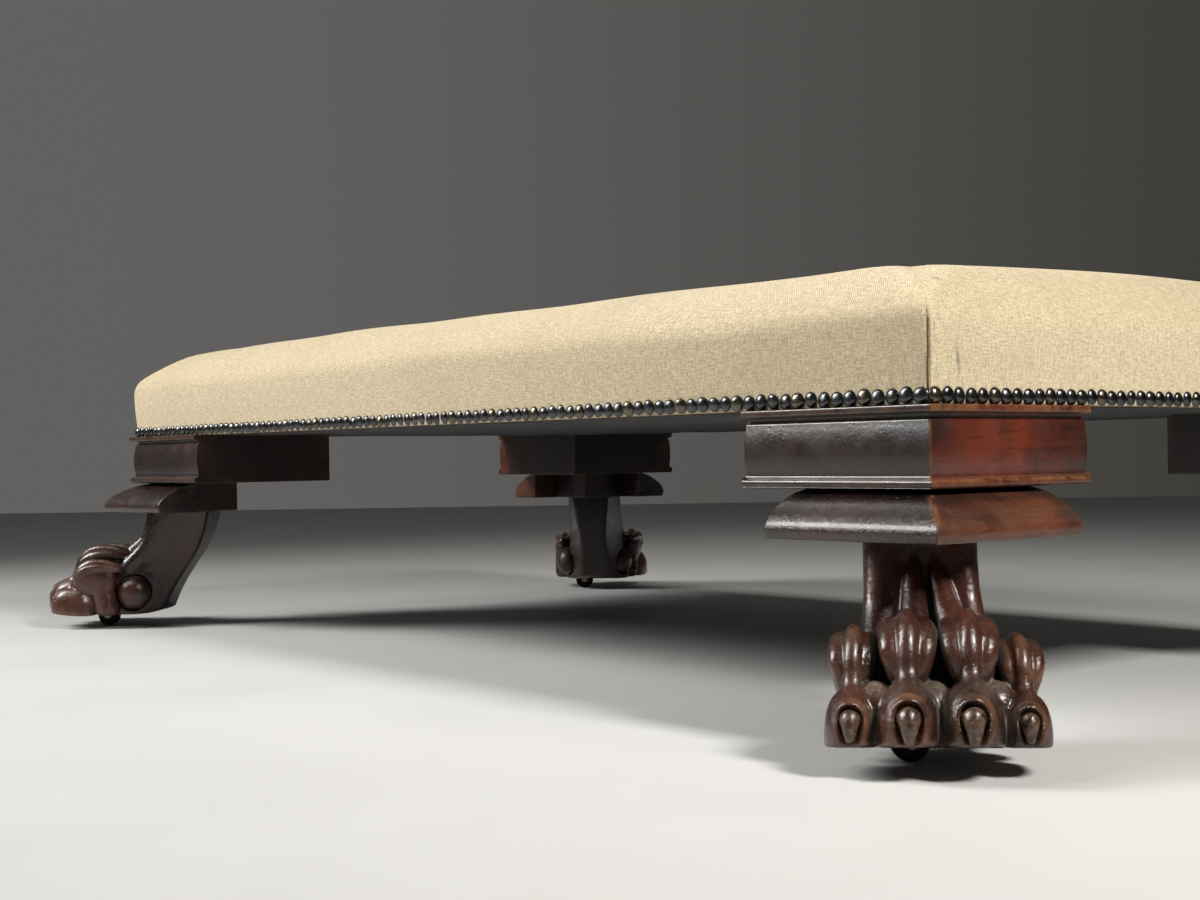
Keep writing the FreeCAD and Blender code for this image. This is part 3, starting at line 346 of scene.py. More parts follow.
def old_metal(name, dark, bright, share, rough_low, rough_high):
    """Patinated metal: dark skin rubbed through to brighter metal in patches."""
    shader = Shader(name)
    shader.set(Metallic=1.0)
    lot = shader.node("NewGeometry", out="Random Per Island")
    where = shader.shifted(lot * 5.0)
    patch = shader.noise(190, where, 5, 0.65) + lot * 0.05
    bared = shader.ramp(patch, 0.62 - share, 0.78 - share)
    colour = shader.mix(shader.math("MAXIMUM", bared, shader.attribute("edge")), dark, bright)
    rough = shader.ramp(shader.noise(320, where, 3), 0.3, 0.7, rough_low, rough_high)
    return shader.finish(colour, rough, shader.bump(shader.noise(520, where), 0.0004, 0.3))


# Lit and shaded copies of one mahogany: the long sides' dark tones are painted shade, and the short sides'
# red and brown tones with their brighter worn arrises are painted light
SHADED_TONES = ((0.0085, 0.0052, 0.0047), (0.018, 0.0088, 0.0072), (0.030, 0.0122, 0.0092))
LIT_RED_TONES = ((0.015, 0.0068, 0.0051), (0.060, 0.0140, 0.0078), (0.118, 0.0225, 0.0105))
LIT_BROWN_TONES = ((0.020, 0.0082, 0.0055), (0.062, 0.0200, 0.0105), (0.105, 0.0330, 0.0155))
LEG_TONES = ((0.0095, 0.0050, 0.0044), (0.030, 0.0102, 0.0076), (0.056, 0.0162, 0.0104))
FACING, NOSING = {}, {}
for axis, grain in (("x", (0.07, 1, 1)), ("y", (1, 0.07, 1))):
    FACING["long", axis] = mahogany(f"mahogany_shaded_{axis}", grain, SHADED_TONES, 0.3, 0.25, 0.85)
    FACING["short", axis] = mahogany(f"mahogany_lit_red_{axis}", grain, LIT_RED_TONES, 0.95, 0.24, 0.7)
    NOSING["long", axis] = mahogany(f"nosing_shaded_{axis}", grain, SHADED_TONES, 0.45, 0.2, 2.0, 0.42, 0.2)
    NOSING["short", axis] = mahogany(f"nosing_lit_brown_{axis}", grain, LIT_BROWN_TONES, 0.9, 0.28, 1.2, 0.5, 0.15)
LEG_WOOD = mahogany("mahogany_upright", (1, 1, 0.09), LEG_TONES, 0.55, 0.19, 1.5, 0.5, 0.25)
FRAME_WOOD = frame_wood()
LINEN = linen()
DUST_CLOTH = dark_cloth()
NAIL_METAL = old_metal("antique_nail", (0.078, 0.08, 0.085), (0.18, 0.145, 0.088), -0.03, 0.2, 0.34)
CASTOR_BRASS = old_metal("aged_brass", (0.075, 0.048, 0.022), (0.36, 0.235, 0.085), 0.12, 0.28, 0.5)
CASTOR_IRON = old_metal("castor_iron", (0.012, 0.010, 0.009), (0.10, 0.085, 0.07), 0.0, 0.3, 0.55)
SCREW_STEEL = old_metal("screw_steel", (0.16, 0.15, 0.14), (0.42, 0.41, 0.40), 0.15, 0.25, 0.45)
JUTE = coarse_cloth("jute_webbing", (0.30, 0.215, 0.115), (0.46, 0.36, 0.21), 0.003)
HESSIAN = coarse_cloth("base_hessian_weave", (0.31, 0.235, 0.14), (0.50, 0.40, 0.26), 0.0024)


# Carved paw, as distances in millimetres: X outward, Y across, Z up
class Carving:
    """Grid of distances to a form that is built up and cut into."""

    def __init__(self, low, high, step):
        self.low = np.array(low, np.float32)
        self.step = step
        axes = [np.arange(a, b + step, step, dtype=np.float32) for a, b in zip(low, high)]
        self.x, self.y, self.z = np.meshgrid(*axes, indexing="ij")
        self.field = np.full(self.x.shape, 400.0, np.float32)

    def window(self, low, high):
        """Part of the grid, sharing its distances with the whole."""
        first = [max(int((a - b) / self.step), 0) for a, b in zip(low, self.low)]
        last = [int((a - b) / self.step) + 2 for a, b in zip(high, self.low)]
        cut = tuple(slice(a, b) for a, b in zip(first, last))
        part = copy.copy(self)
        part.low = self.low + np.array(first, np.float32) * self.step
        part.x, part.y, part.z, part.field = (grid[cut] for grid in (self.x, self.y, self.z, self.field))
        return part

    def pillow(self, centre, radii, power=2.0, turn=0.0):
        """Ellipsoid, fuller at its corners as the power rises, turned about the vertical."""
        px, py, pz = self.x - centre[0], self.y - centre[1], self.z - centre[2]
        cos, sin = math.cos(turn), math.sin(turn)
        turned = (px * cos + py * sin, py * cos - px * sin, pz)
        parts = [np.abs(p) / r + 1e-4 for p, r in zip(turned, radii)]
        size = sum(p ** power for p in parts) ** (1 / power)
        slope = np.sqrt(sum((p ** (power - 1) / r) ** 2 for p, r in zip(parts, radii))) * size ** (1 - power)
        return (size - 1) / slope

    def rod(self, points):
        """Rounded rod along a smooth curve through points (x, y, z, radius)."""
        best = math.inf
        points = bent(points)
        for first, last in zip(points, points[1:]):
            way = last[:3] - first[:3]
            apart = [axis - place for axis, place in zip((self.x, self.y, self.z), first)]
            share = np.clip(sum(a * w for a, w in zip(apart, way)) / (way @ way), 0, 1)
            gap = np.sqrt(sum((a - share * w) ** 2 for a, w in zip(apart, way)))
            best = np.minimum(best, gap - (first[3] + (last[3] - first[3]) * share))
        return best

    def add(self, form, blend):
        self.field[...] = soft_min(self.field, form, blend)

    def cut(self, form, blend):
        self.field[...] = -soft_min(-self.field, form, blend)

    def sample(self, points):
        """Distance at points, between the grid's values."""
        spot = (points - self.low) / self.step
        cell = np.clip(spot.astype(int), 0, np.array(self.field.shape) - 2)
        f = np.clip(spot - cell, 0, 1)
        i, j, k = cell.T
        total = 0
        for a, b, c in np.ndindex(2, 2, 2):
            share = abs(1 - a - f[:, 0]) * abs(1 - b - f[:, 1]) * abs(1 - c - f[:, 2])
            total = total + share * self.field[i + a, j + b, k + c]
        return total

    def surface(self):
        """Points and four-sided faces of the form's surface."""
        cells = tuple(n - 1 for n in self.field.shape)
        total = np.zeros(cells + (3,), np.float32)
        count = np.zeros(cells, np.float32)
        crossings = []
        for axis in range(3):
            field, sums, counts = (np.moveaxis(grid, axis, 0) for grid in (self.field, total, count))
            first, last = field[:-1], field[1:]
            inside = first < 0
            crossed = inside != (last < 0)
            crossings.append((crossed, inside))
            share = np.where(crossed, first / np.where(crossed, first - last, 1), 0)
            across, along = (a for a in range(3) if a != axis)
            wide, deep = crossed.shape[1] - 1, crossed.shape[2] - 1
            for u, v in np.ndindex(2, 2):
                part = np.s_[:, u:u + wide, v:v + deep]
                here = crossed[part]
                counts += here
                sums[..., axis] += np.where(here, share[part], 0)
                sums[..., across] += here * u
                sums[..., along] += here * v
        used = count > 0
        index = np.full(cells, -1, np.int64)
        index[used] = np.arange(used.sum())
        points = np.argwhere(used) + total[used] / count[used][:, None]
        faces = []
        for axis, (crossed, inside) in enumerate(crossings):
            table = np.moveaxis(index, axis, 0)
            i, j, k = np.nonzero(crossed[:, 1:-1, 1:-1])
            ring = np.stack([table[i, j + a, k + b] for a, b in ((0, 0), (1, 0), (1, 1), (0, 1))], 1)
            flip = inside[:, 1:-1, 1:-1][i, j, k] == (axis == 1)
            ring[flip] = ring[flip][:, ::-1]
            faces.append(ring)
        return self.low + points * self.step, np.concatenate(faces)


# Sections of the shank: height, inward and outward reach, width, width of its back, and run of the narrowing
SHANK = np.array([
    (16, -46, 62, 92, 40, 30), (43, -58, 52, 90, 40, 34), (70, -75, 14, 80, 36, 46),
    (85, -85, -9, 78, 38, 54), (100, -94, -21, 77, 42, 56), (120, -102, -28, 77, 48, 56),
    (LEG_TOP, -107, -33, 77, 54, 56),
], float)
SHANK_SIDE = -4.5
HOLLOW = [(-9, -3, 150, 27), (-8, -3, 132, 27), (-2, -2, 114, 25), (10, -1, 98, 20), (30, 0, 92, 16)]
# Rods on both sides of the shank: out, middle, reach to the side, up and radius
TENDON = [(-37, -2, 7, 127, 4), (-30, -2, 8.5, 116, 6.6), (-22, -1, 9.8, 104, 8.4), (-11, -0.5, 11, 93, 9.4),
          (2, 0, 12, 82, 9.4)]
FLANK = [(-39, SHANK_SIDE, 29, 141, 6.5), (-35.5, SHANK_SIDE, 29, 122, 7), (-30, SHANK_SIDE, 30, 101, 8.5),
         (-21.5, SHANK_SIDE, 31.5, 89, 9), (-9, SHANK_SIDE, 33.5, 76, 9.5)]
FOOT_SIDE = [(20, 0, 48, 62, 15), (12, 0, 48, 26, 15)]
SIDE_FOLD = [(43, 0, 70, 60, 2.4), (34, 0, 69, 46, 2.6), (22, 0, 66, 32, 2.6), (12, 0, 63, 16, 2.4)]
# Rods of the largest toe: out, up, across and radius
LOBE = [(-6, 85, 4, 5), (8, 87, 8.5, 6), (24, 88, 11, 7), (40, 84.5, 11.5, 7.4), (51, 76, 10.5, 7.2),
        (54, 66, 8, 6.5), (53, 58, 5, 5.5)]
RIDGE = [(-8, 86, 0, 5), (10, 93.5, 0, 5), (24, 95.3, 0, 5.2), (37, 94, 0, 5.8), (48, 88.5, 0, 6.5),
         (55.5, 79, 0, 6.8), (59, 70, 0, 6.5), (61.5, 62, 0, 6), (67, 56, 0, 6)]
HOOD = [(61.5, 62, 0, 6), (67, 55.5, 0, 6.5), (78, 51, 0, 7), (87, 44.5, 0, 9)]
SOCKET = [(94.5, 41.5, 0, 9.4), (97.5, 34, 0, 8.6), (100.5, 20, 0, 4.8)]
TOE_RUN = 65.0
CLAW_RINGS = 16
CLAW_SIDES = 20
CLAW_MARKS = {"rubbed": 0.6, "horn": 1.0}


def smooth_through(places, values, spots):
    """Values between those given, along a smooth curve through them."""
    slopes = np.gradient(values, places)
    i = np.clip(np.searchsorted(places, spots) - 1, 0, len(places) - 2)
    span = places[i + 1] - places[i]
    s = np.clip((spots - places[i]) / span, 0, 1)
    start = (1 + 2 * s) * (1 - s) ** 2 * values[i] + s * (1 - s) ** 2 * span * slopes[i]
    end = s * s * (3 - 2 * s) * values[i + 1] + s * s * (s - 1) * span * slopes[i + 1]
    return start + end


def bent(points, parts=3):
    """More points, on a smooth curve through those given."""
    rows = np.array(points, float)
    if len(rows) == 2:
        return rows
    places = np.arange(len(rows), dtype=float)
    spots = np.linspace(0, len(rows) - 1, (len(rows) - 1) * parts + 1)
    return np.stack([smooth_through(places, rows[:, i], spots) for i in range(4)], 1)


def sided(rows, side):
    """Points of a rod on one side of the shank."""
    return [(out, middle + reach * side, up, radius) for out, middle, reach, up, radius in rows]


class Toe:
    """One toe: its place across at knuckle and tip, and its share of the largest toe's size."""

    def __init__(self, knuckle_side, tip_side, share, setback):
        self.knuckle_side, self.tip_side = knuckle_side, tip_side
        self.share, self.setback = share, setback
        self.turn = math.atan2(tip_side - knuckle_side, TOE_RUN * share)

    def at(self, out, up, across=0.0, radius=0.0):
        """Place of a point of the largest toe on this one."""
        lean = min(max((out - 30) / TOE_RUN, 0), 1)
        side = self.knuckle_side + (self.tip_side - self.knuckle_side) * lean + across * self.share
        return ((out - self.setback) * self.share, side, SOLE + (up - SOLE) * self.share, radius * self.share)

    def spot(self, out, up):
        return np.array(self.at(out, up)[:3])

    def along(self, rows, side=1):
        return [self.at(out, up, across * side, radius) for out, up, across, radius in rows]

    def sized(self, *radii):
        return [r * self.share for r in radii]


TOES = [Toe(-53, -59.5, 0.87, 3), Toe(-20, -24.5, 1.0, 0), Toe(18.5, 14.5, 1.0, 0), Toe(50, 50, 0.81, -2)]
WEB_SIDES = [(first.tip_side + last.tip_side) / 2 for first, last in zip(TOES, TOES[1:])]


def shank_form(carving):
    """Shank and foot: level sections with soft front edges, narrowing to a crisp back."""
    level = carving.z[0, 0]
    heights, *columns = SHANK.T
    back, front, width, back_width, run = (smooth_through(heights, column, level) for column in columns)
    middle = (back + front) / 2
    rounding = np.where(carving.x > middle, 12.0, 4.0)
    forward = np.clip((carving.x - back) / run, 0, 1)
    half = (back_width + (width - back_width) * forward) / 2
    qx = np.abs(carving.x - middle) - (front - back) / 2 + rounding
    qy = np.abs(carving.y - SHANK_SIDE) - half + rounding
    outer = np.sqrt(np.maximum(qx, 0) ** 2 + np.maximum(qy, 0) ** 2)
    return outer + np.minimum(np.maximum(qx, qy), 0) - rounding


def carve_toe(whole, toe):
    """Knuckle with its three folds, narrow neck, broad toe end and the claw's socket."""
    middle = (toe.knuckle_side + toe.tip_side) / 2
    carving = whole.window((-24, middle - 32, 10), (112, middle + 32, 110))
    knuckle = carving.pillow(toe.spot(28, 69), toe.sized(31, 16.6, 28.5), 2.3)
    for side in (-1, 1):
        knuckle = soft_min(knuckle, carving.rod(toe.along(LOBE, side)), 2.2 * toe.share)
    knuckle = soft_min(knuckle, carving.rod(toe.along(RIDGE)), 1.4 * toe.share)
    carving.add(knuckle, 2.0)
    carving.add(carving.pillow(toe.spot(64, 23.5), toe.sized(33.5, 20.3, 35.5), 2.4, toe.turn), 2.0)
    carving.add(carving.rod(toe.along(HOOD)), 3.0)
    carving.cut(carving.rod(toe.along(SOCKET)), 1.2)


def carve_paw():
    """Whole leg: shank, tendons, toes, and heel pads, with its sole, castor pocket and flat top."""
    carving = Carving((-114, -88, 10), (110, 88, 147), 1.1)
    carving.add(shank_form(carving), 1)
    front = carving.window((-60, -50, 70), (60, 50, 147))
    front.cut(front.rod(HOLLOW), 7)
    for side in (-1, 1):
        front.add(front.rod(sided(TENDON, side)), 1.8)
        carving.add(carving.rod(sided(FLANK, side)), 5)
        carving.add(carving.rod(sided(FOOT_SIDE, side)), 5)
    for middle in WEB_SIDES:
        carving.add(carving.pillow((51, middle, 41), (18, 14, 16.5)), 3)
    for toe in TOES:
        carve_toe(carving, toe)
    for side in (-1, 1):
        carving.cut(carving.rod(sided(SIDE_FOLD, side)), 2.0)
        heel = (-18.5, 40 * side, 43)
        carving.cut(carving.pillow(heel, (22.8, 18, 22.2)), 1.5)
        carving.add(carving.pillow(heel, (20.8, 17, 20.6)), 0.8)
    tooled = np.sin(carving.x / 3.3 + carving.z / 5.1) * np.sin(carving.y / 2.9 - carving.z / 4.3)
    carving.field += (0.13 * tooled).astype(np.float32)
    pocket = np.sqrt((carving.x - 10) ** 2 + carving.y ** 2) - 33.3
    carving.cut(np.maximum(pocket, carving.z - 37.5), 0.8)
    lift = 0.0018 * np.maximum(carving.x - 32, 0) ** 2 + 0.010 * np.maximum(-25 - carving.x, 0) ** 2
    carving.cut(carving.z - SOLE - lift, 2.5)
    carving.field[...] = np.maximum(carving.field, carving.z - LEG_TOP)
    return carving


def claw(toe):
    """Teardrop claw: rounded root in its socket, keeled front, and a point at the sole."""
    root, belly, tip = toe.spot(86.5, 40.5), toe.spot(96.0, 39.5), toe.spot(94.3, 24.6)
    side = np.array((-math.sin(toe.turn), math.cos(toe.turn), 0))
    points = []
    for run in np.linspace(0, 1, CLAW_RINGS):
        share = run * run * (3 - 2 * run) * 0.35 + run * 0.65
        spot = root * (1 - share) ** 2 + belly * 2 * share * (1 - share) + tip * share ** 2
        way = (belly - root) * (1 - share) + (tip - belly) * share
        rise = np.cross(side, way / np.linalg.norm(way))
        wide = 7.7 * toe.share * min(1, math.sqrt(run / 0.2 + 0.02)) * (1 - 0.6 * max(run - 0.3, 0) / 0.7)
        for angle in np.arange(CLAW_SIDES) / CLAW_SIDES * FULL_TURN:
            keel = 1 + 0.07 * max(math.cos(angle), 0) ** 8
            points.append(spot - rise * math.cos(angle) * wide * keel + side * math.sin(angle) * wide)
    faces = tube(0, CLAW_RINGS, CLAW_SIDES)
    last = len(points) - CLAW_SIDES
    for k in range(CLAW_SIDES):
        m = (k + 1) % CLAW_SIDES
        faces.append((len(points), m, k))
        faces.append((len(points) + 1, last + k, last + m))
    return np.array(points + [root, tip]), faces


def paw_measures(carving, points):
    """Outward direction, and how hollow and how prominent each point of the surface is."""
    sides = np.eye(3) * carving.step
    slope = np.stack([carving.sample(points + s) - carving.sample(points - s) for s in sides], 1)
    slope = slope / (2 * carving.step)
    size = np.linalg.norm(slope, axis=1) + 1e-6
    normal = slope / size[:, None]
    hollow, ridge = np.zeros((2, len(points)))
    for away in (3.0, 7.0):
        hollow += 0.5 * np.clip(1 - carving.sample(points + normal * away) / (away * size), 0, 1)
        ridge += 0.5 * np.clip(1 + carving.sample(points - normal * away) / (away * size), 0, 1)
    return normal, hollow, ridge


def paw_marks(carving, points):
    """Dust on the webs, near-black painted shade in the folds (grime there too) and on the faces turned back,
    and wear on the knuckles and the toe ends.
    """
    normal, hollow, ridge = paw_measures(carving, points)
    x, y, z = points.T
    upward = smooth_rise(normal[:, 2], -0.35, 0.5)
    low_part = smooth_rise(z, 112, 92)
    foot_part = smooth_rise(z, 72, 60)
    out_part = smooth_rise(x, -15, 30)
    backward = smooth_rise(-normal[:, 0], 0.45, 0.75) * smooth_rise(x, -25, -45)
    clear = np.ones(len(points))
    for toe in TOES:
        clear *= smooth_rise(np.linalg.norm(points - toe.spot(96, 33), axis=1), 17, 28)
    web = np.zeros(len(points))
    for middle in WEB_SIDES:
        near = np.exp(-((y - middle) / 10) ** 2 - ((z - 57) / 5) ** 2)
        web = np.maximum(web, near * smooth_rise(x, 24, 44) * upward)
    folds = smooth_rise(hollow, 0.22, 0.6) * low_part
    dust = smooth_rise(hollow, 0.36, 0.8) * upward * out_part * (0.35 + 0.65 * foot_part)
    return {
        "cavity": np.maximum(dust, web),
        # painted shade: near black in the folds, lighter on the foot's upward faces, and on the back of the
        # leg
        "grime": np.maximum(folds * (1 - 0.75 * upward * foot_part), 0.8 * backward),
        "edge": smooth_rise(ridge, 0.16, 0.5) * low_part * out_part * clear,
        "rubbed": (0.12 + 0.88 * smooth_rise(ridge, 0.09, 0.36)) * low_part * out_part * (0.5 + 0.5 * clear),
        "horn": np.zeros(len(points)),
    }


def paw_legs():
    carving = carve_paw()
    points, faces = carving.surface()
    marks = paw_marks(carving, points)
    faces = faces.tolist()
    for toe in TOES:
        claw_points, claw_faces = claw(toe)
        faces.extend([i + len(points) for i in face] for face in claw_faces)
        points = np.concatenate([points, claw_points])
        for name, values in marks.items():
            marks[name] = np.append(values, np.full(len(claw_points), CLAW_MARKS.get(name, 0.0)))
    for corner in CORNERS:
        name = f"{corner}_carved_paw"
        place = corner_place(corner, OUTWARD_TURN)
        wooden_piece(name, make_mesh(name, points, faces), place, LEG_WOOD, f"{corner}_paw_leg", **marks)


# Mouldings
MITRE_STATIONS = ((0.0, 0.3), (0.4, 0.05), (1.2, 0.0), (3.0, 0.0), (7.0, 0.0))
END_STATIONS = ((1.6, 0.0), (0.8, 0.12), (0.25, 0.5), (0.0, 1.1))
FACING_INSET = 26
THUMB_INSET = 25.5
PAD_WIDTH = 97
# Section of a facing, anticlockwise: distance behind the fillet face, height, rounding, swell to the next,
# and wear, below zero in a hollow
FRIEZE = [
    (2.2, PAD_TOP, 1.6, 0, 0.3), (FACING_INSET, PAD_TOP, 0.4, 0, 0), (FACING_INSET, RAIL_FOOT, 0.4, 0, 0),
    (0, RAIL_FOOT, 1.3, 0, 0.9), (0, 228, 1.5, 0, 0.9), (8, 226.6, 0.8, 0, -1), (8, 224, 0.8, 0, -1),
    (5.6, 223.2, 1.4, 2.1, 0.15), (5.6, 184.4, 0.8, 0, 0), (4.4, 183, 0.6, 0, -1), (0.3, 182, 1.9, 0, 0.95),
    (0.3, 177.4, 1.9, 0, 0.6),
]
# Section of a thumb moulding, on the same axes
THUMB = [
    (-21.5, LEG_TOP, 1.6, 0, 0.5), (THUMB_INSET, LEG_TOP, 0.4, 0, 0), (THUMB_INSET, PAD_TOP, 0.4, 0, 0),
    (20.5, PAD_TOP, 1.0, 0, 0), (5, 172.4, 6.5, 0, 0.05), (-8, 165.6, 5.0, 0, 0.1),
    (-18, 158.8, 4.5, 0, 0.15), (-23.2, 151.8, 3.0, 0, 0.25), (-24, 146.5, 2.2, 0, 0.45),
]


def rounded_outline(corners, spacing):
    """Outline of a section with its corners rounded, and each point's wear."""
    points, wear = [], []
    for i, (x, z, radius, swell, worn) in enumerate(corners):
        following = corners[(i + 1) % len(corners)]
        here, before, after = (np.array(c[:2], float) for c in ((x, z), corners[i - 1], following))
        way_in = (here - before) / np.linalg.norm(here - before)
        way_out = (after - here) / np.linalg.norm(after - here)
        for share in (0.0, 0.25, 0.5, 0.75, 1.0):
            points.append(here - way_in * radius * (1 - share) ** 2 + way_out * radius * share ** 2)
            wear.append(worn)
        start = here + way_out * radius
        end = after - way_out * following[2]
        span = np.linalg.norm(end - start)
        left = np.array((way_out[1], -way_out[0]))
        for share in steps(0, 1, spacing / max(span, spacing))[1:-1]:
            points.append(start + (end - start) * share + left * swell * 4 * share * (1 - share))
            wear.append(min(worn, following[4]))
    return np.array(points), np.array(wear)


def moulding(name, corners, length, along_x, corner, replaced, material, mitre_wear):
    """Mitred moulding along one outer side, its arrises rounded and its ends eased."""
    outline, wear = rounded_outline(corners, 3.0)
    behind, height = outline.T
    middle = outline.mean(0)
    toward = outline - middle
    reach = np.maximum(np.linalg.norm(toward, axis=1), 1e-6)
    foot = height.min() + 0.3
    stations = [(along, ease, True) for along, ease in MITRE_STATIONS]
    stations += [(s, 0.0, False) for s in steps(behind.max() + 9, length - 6, 9.0)]
    stations += [(length - s, ease, False) for s, ease in END_STATIONS]
    points, edges, smoke = [], [], []
    for along, ease, mitred in stations:
        b, h = (middle + toward * (1 - ease / reach)[:, None]).T
        s = along + behind * mitred
        points.append(np.stack((s, b, h) if along_x else (b, s, h), 1))
        near_mitre = smooth_rise(along, mitre_wear, 0.3) if mitred else 0.0
        edges.append(np.maximum(np.maximum(wear, 0.9 * near_mitre), 0))
        # darker towards the top near the mitre
        smoke.append(smooth_rise(s, 74, 12) * smooth_rise(height, foot + 8, foot + 40))
    ring, count = len(outline), len(stations)
    faces = tube(0, count, ring)
    faces.append(tuple(range(ring))[::-1])
    faces.append(tuple(range((count - 1) * ring, count * ring)))
    if along_x:
        faces = [f[::-1] for f in faces]
    mesh = make_mesh(name, np.concatenate(points), faces)
    for face in mesh.polygons:
        face.use_smooth = len(face.vertices) <= 4
    # The lowest points of the section take near-black painted shade; its hollows take dust
    wooden_piece(name, mesh, corner_place(corner), material, replaced, edge=np.concatenate(edges),
                 cavity=np.tile(np.where(wear < 0, 0.35, 0.0), count),
                 grime=np.tile(np.where(height < foot, 0.9, 0.0), count), smoked=np.concatenate(smoke))


def eased_box(name, low, high, corner, replaced):
    """Squared block with eased arrises."""
    work = bmesh.new()
    bmesh.ops.create_cube(work, size=1.0)
    low, high = np.array(low), np.array(high)
    for vert in work.verts:
        vert.co = Vector(((low + high) / 2 + np.array(vert.co) * (high - low)) * MM)
    bmesh.ops.bevel(work, geom=list(work.edges), offset=0.9 * MM, segments=3, profile=0.6, affect="EDGES")
    long_edges = [e for e in work.edges if e.calc_length() > 0.02]
    bmesh.ops.subdivide_edges(work, edges=long_edges, cuts=6, use_grid_fill=True)
    mesh = bpy.data.meshes.new(name)
    work.normal_update()
    work.to_mesh(mesh)
    work.free()
    places = np.array([v.co for v in mesh.vertices]) / MM
    gaps = np.sort(np.minimum(np.abs(places - low), np.abs(high - places)), 1)
    wooden_piece(name, mesh, corner_place(corner), FACING["long", "x"], replaced,
                 edge=np.where(gaps[:, 1] < 1.2, 0.7, 0.0))


def corner_woodwork():
    for corner, (side_x, side_y, turn, along_x, along_y) in CORNERS.items():
        for side, axis in ((along_x, "x"), (along_y, "y")):
            # Long sides take the shaded copies and short sides the lit copies: painted shade and painted
            # light on one wood
            kind = "long" if side in ("front", "back") else "short", axis
            moulding(f"{corner}_facing_{side}", FRIEZE, BLOCK_WIDTH, axis == "x", corner,
                     f"{corner}_frieze_{side}", FACING[kind], 3.2)
            moulding(f"{corner}_nosing_{side}", THUMB, THUMB_LENGTH, axis == "x", corner,
                     f"{corner}_thumb_{side}", NOSING[kind], 9.0)
        eased_box(f"{corner}_core", (FACING_INSET, FACING_INSET, PAD_TOP),
                  (BLOCK_WIDTH, BLOCK_WIDTH, RAIL_FOOT), corner, f"{corner}_block")
        eased_box(f"{corner}_pad", (THUMB_INSET, THUMB_INSET, LEG_TOP), (PAD_WIDTH, PAD_WIDTH, PAD_TOP),
                  corner, f"{corner}_pad_core")


# Nails
NAIL_RADIUS = 5.7
NAIL_HEIGHT = 3.1
NAIL_PITCH = 12.65
NAIL_LEVEL = 239.0
NAIL_CORNER = 6.5
NAIL_FACE = 6.5 - 3.5 * 6 / 57
NAIL_SIDES = 14
# Rings of a dome head: shares of its radius and of its height
NAIL_RINGS = [(1.0, -0.12), (1.02, 0.04), (0.985, 0.2), (0.9, 0.44), (0.74, 0.69), (0.52, 0.87), (0.27, 0.97)]


def dome_nails():
    """Close row of dome heads on four sides; every fifth is a driven nail, a little fuller."""
    angles = np.arange(NAIL_SIDES) / NAIL_SIDES * FULL_TURN
    head = [(up, wide * math.cos(a), wide * math.sin(a)) for wide, up in NAIL_RINGS for a in angles]
    head = np.array(head + [(1, 0, 0)])
    points, faces, bright = [], [], []
    long_face, short_face = HALF_WIDTH - NAIL_FACE, HALF_LENGTH - NAIL_FACE
    for turn in (0, 90, 180, 270):
        face, half_run = (long_face, short_face) if turn % 180 else (short_face, long_face)
        run = 2 * (half_run - NAIL_CORNER)
        count = int(run / NAIL_PITCH + 0.5)
        spin = np.array(Matrix.Rotation(math.radians(turn), 3, "Z"))
        for i in range(count + 1):
            driven = i % 5 == 0
            radius = NAIL_RADIUS * (1.1 if driven else 1.04) * random.normal(1, 0.012)
            height = NAIL_HEIGHT * (1.12 if driven else 0.95) * random.normal(1, 0.03)
            tilt = random.normal(0, 0.07, 2)
            slide = random.normal(0, 0.22, 2)
            oval = random.normal(1, 0.025)
            local = head * (height, radius * oval, radius / oval)
            local[:, 0] += local[:, 1] * tilt[0] + local[:, 2] * tilt[1]
            local += (face + 0.2, run * (i / count - 0.5) + slide[0], NAIL_LEVEL + slide[1])
            base = len(points) * len(head)
            tip = base + len(head) - 1
            top = tip - NAIL_SIDES
            points.append(local @ spin.T)
            faces += tube(base, len(NAIL_RINGS), NAIL_SIDES)
            faces += [(top + a, top + (a + 1) % NAIL_SIDES, tip) for a in range(NAIL_SIDES)]
            faces.append(tuple(range(base, base + NAIL_SIDES))[::-1])
            bright += [0.4 if driven else 0.0] * len(head)
    piece = stool_piece("nail_row", make_mesh("nail_row", np.concatenate(points), faces))
    add_marks(piece, edge=bright)
    piece.data.materials.append(NAIL_METAL)
    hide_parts("dome_nails")


# Crowned seat
COVER_FOOT_INSET = 6.5
FACE_X, FACE_Y = HALF_LENGTH - COVER_FOOT_INSET, HALF_WIDTH - COVER_FOOT_INSET
HEM_INSET = 8.4
UNDERSIDE = 291.0
SETTLE_FRAMES = 20
SETTLE_CAP = 0.0013
SETTLE_INWARD = 0.2
# Cover's section, from its lower edge: distance inward and height
SECTION = np.array([
    (0.0, RAIL_FOOT), (-1.2, 246.0), (-2.6, 262.0), (-3.4, 278.0), (-3.5, 289.0), (-2.2, 297.5), (2.0, 304.5),
    (8.0, 310.5), (16.0, 317.5), (27.0, 325.0), (42.0, 331.8), (62.0, 337.0), (90.0, 340.8), (130.0, 343.4),
    (180.0, 344.8), (240.0, 345.6), (366.0, 346.0),
])
SHOULDER = 312.0
# Rounding of the seat's corners by the distance inward
ROUNDED_AT, ROUNDING = (-3.5, 2, 16, 60, 120), (5, 9, 26, 50, 66)
CORNER_STRETCH = 60.0
# Where the stuffing stands fuller or thinner: place, reach both ways, and rise
SWELLS = [
    (500, -285, 110, 80, -3.4), (-470, -290, 70, 80, -1.8), (-200, -285, 140, 80, 1.2),
    (555, 60, 110, 380, 5.0),
]


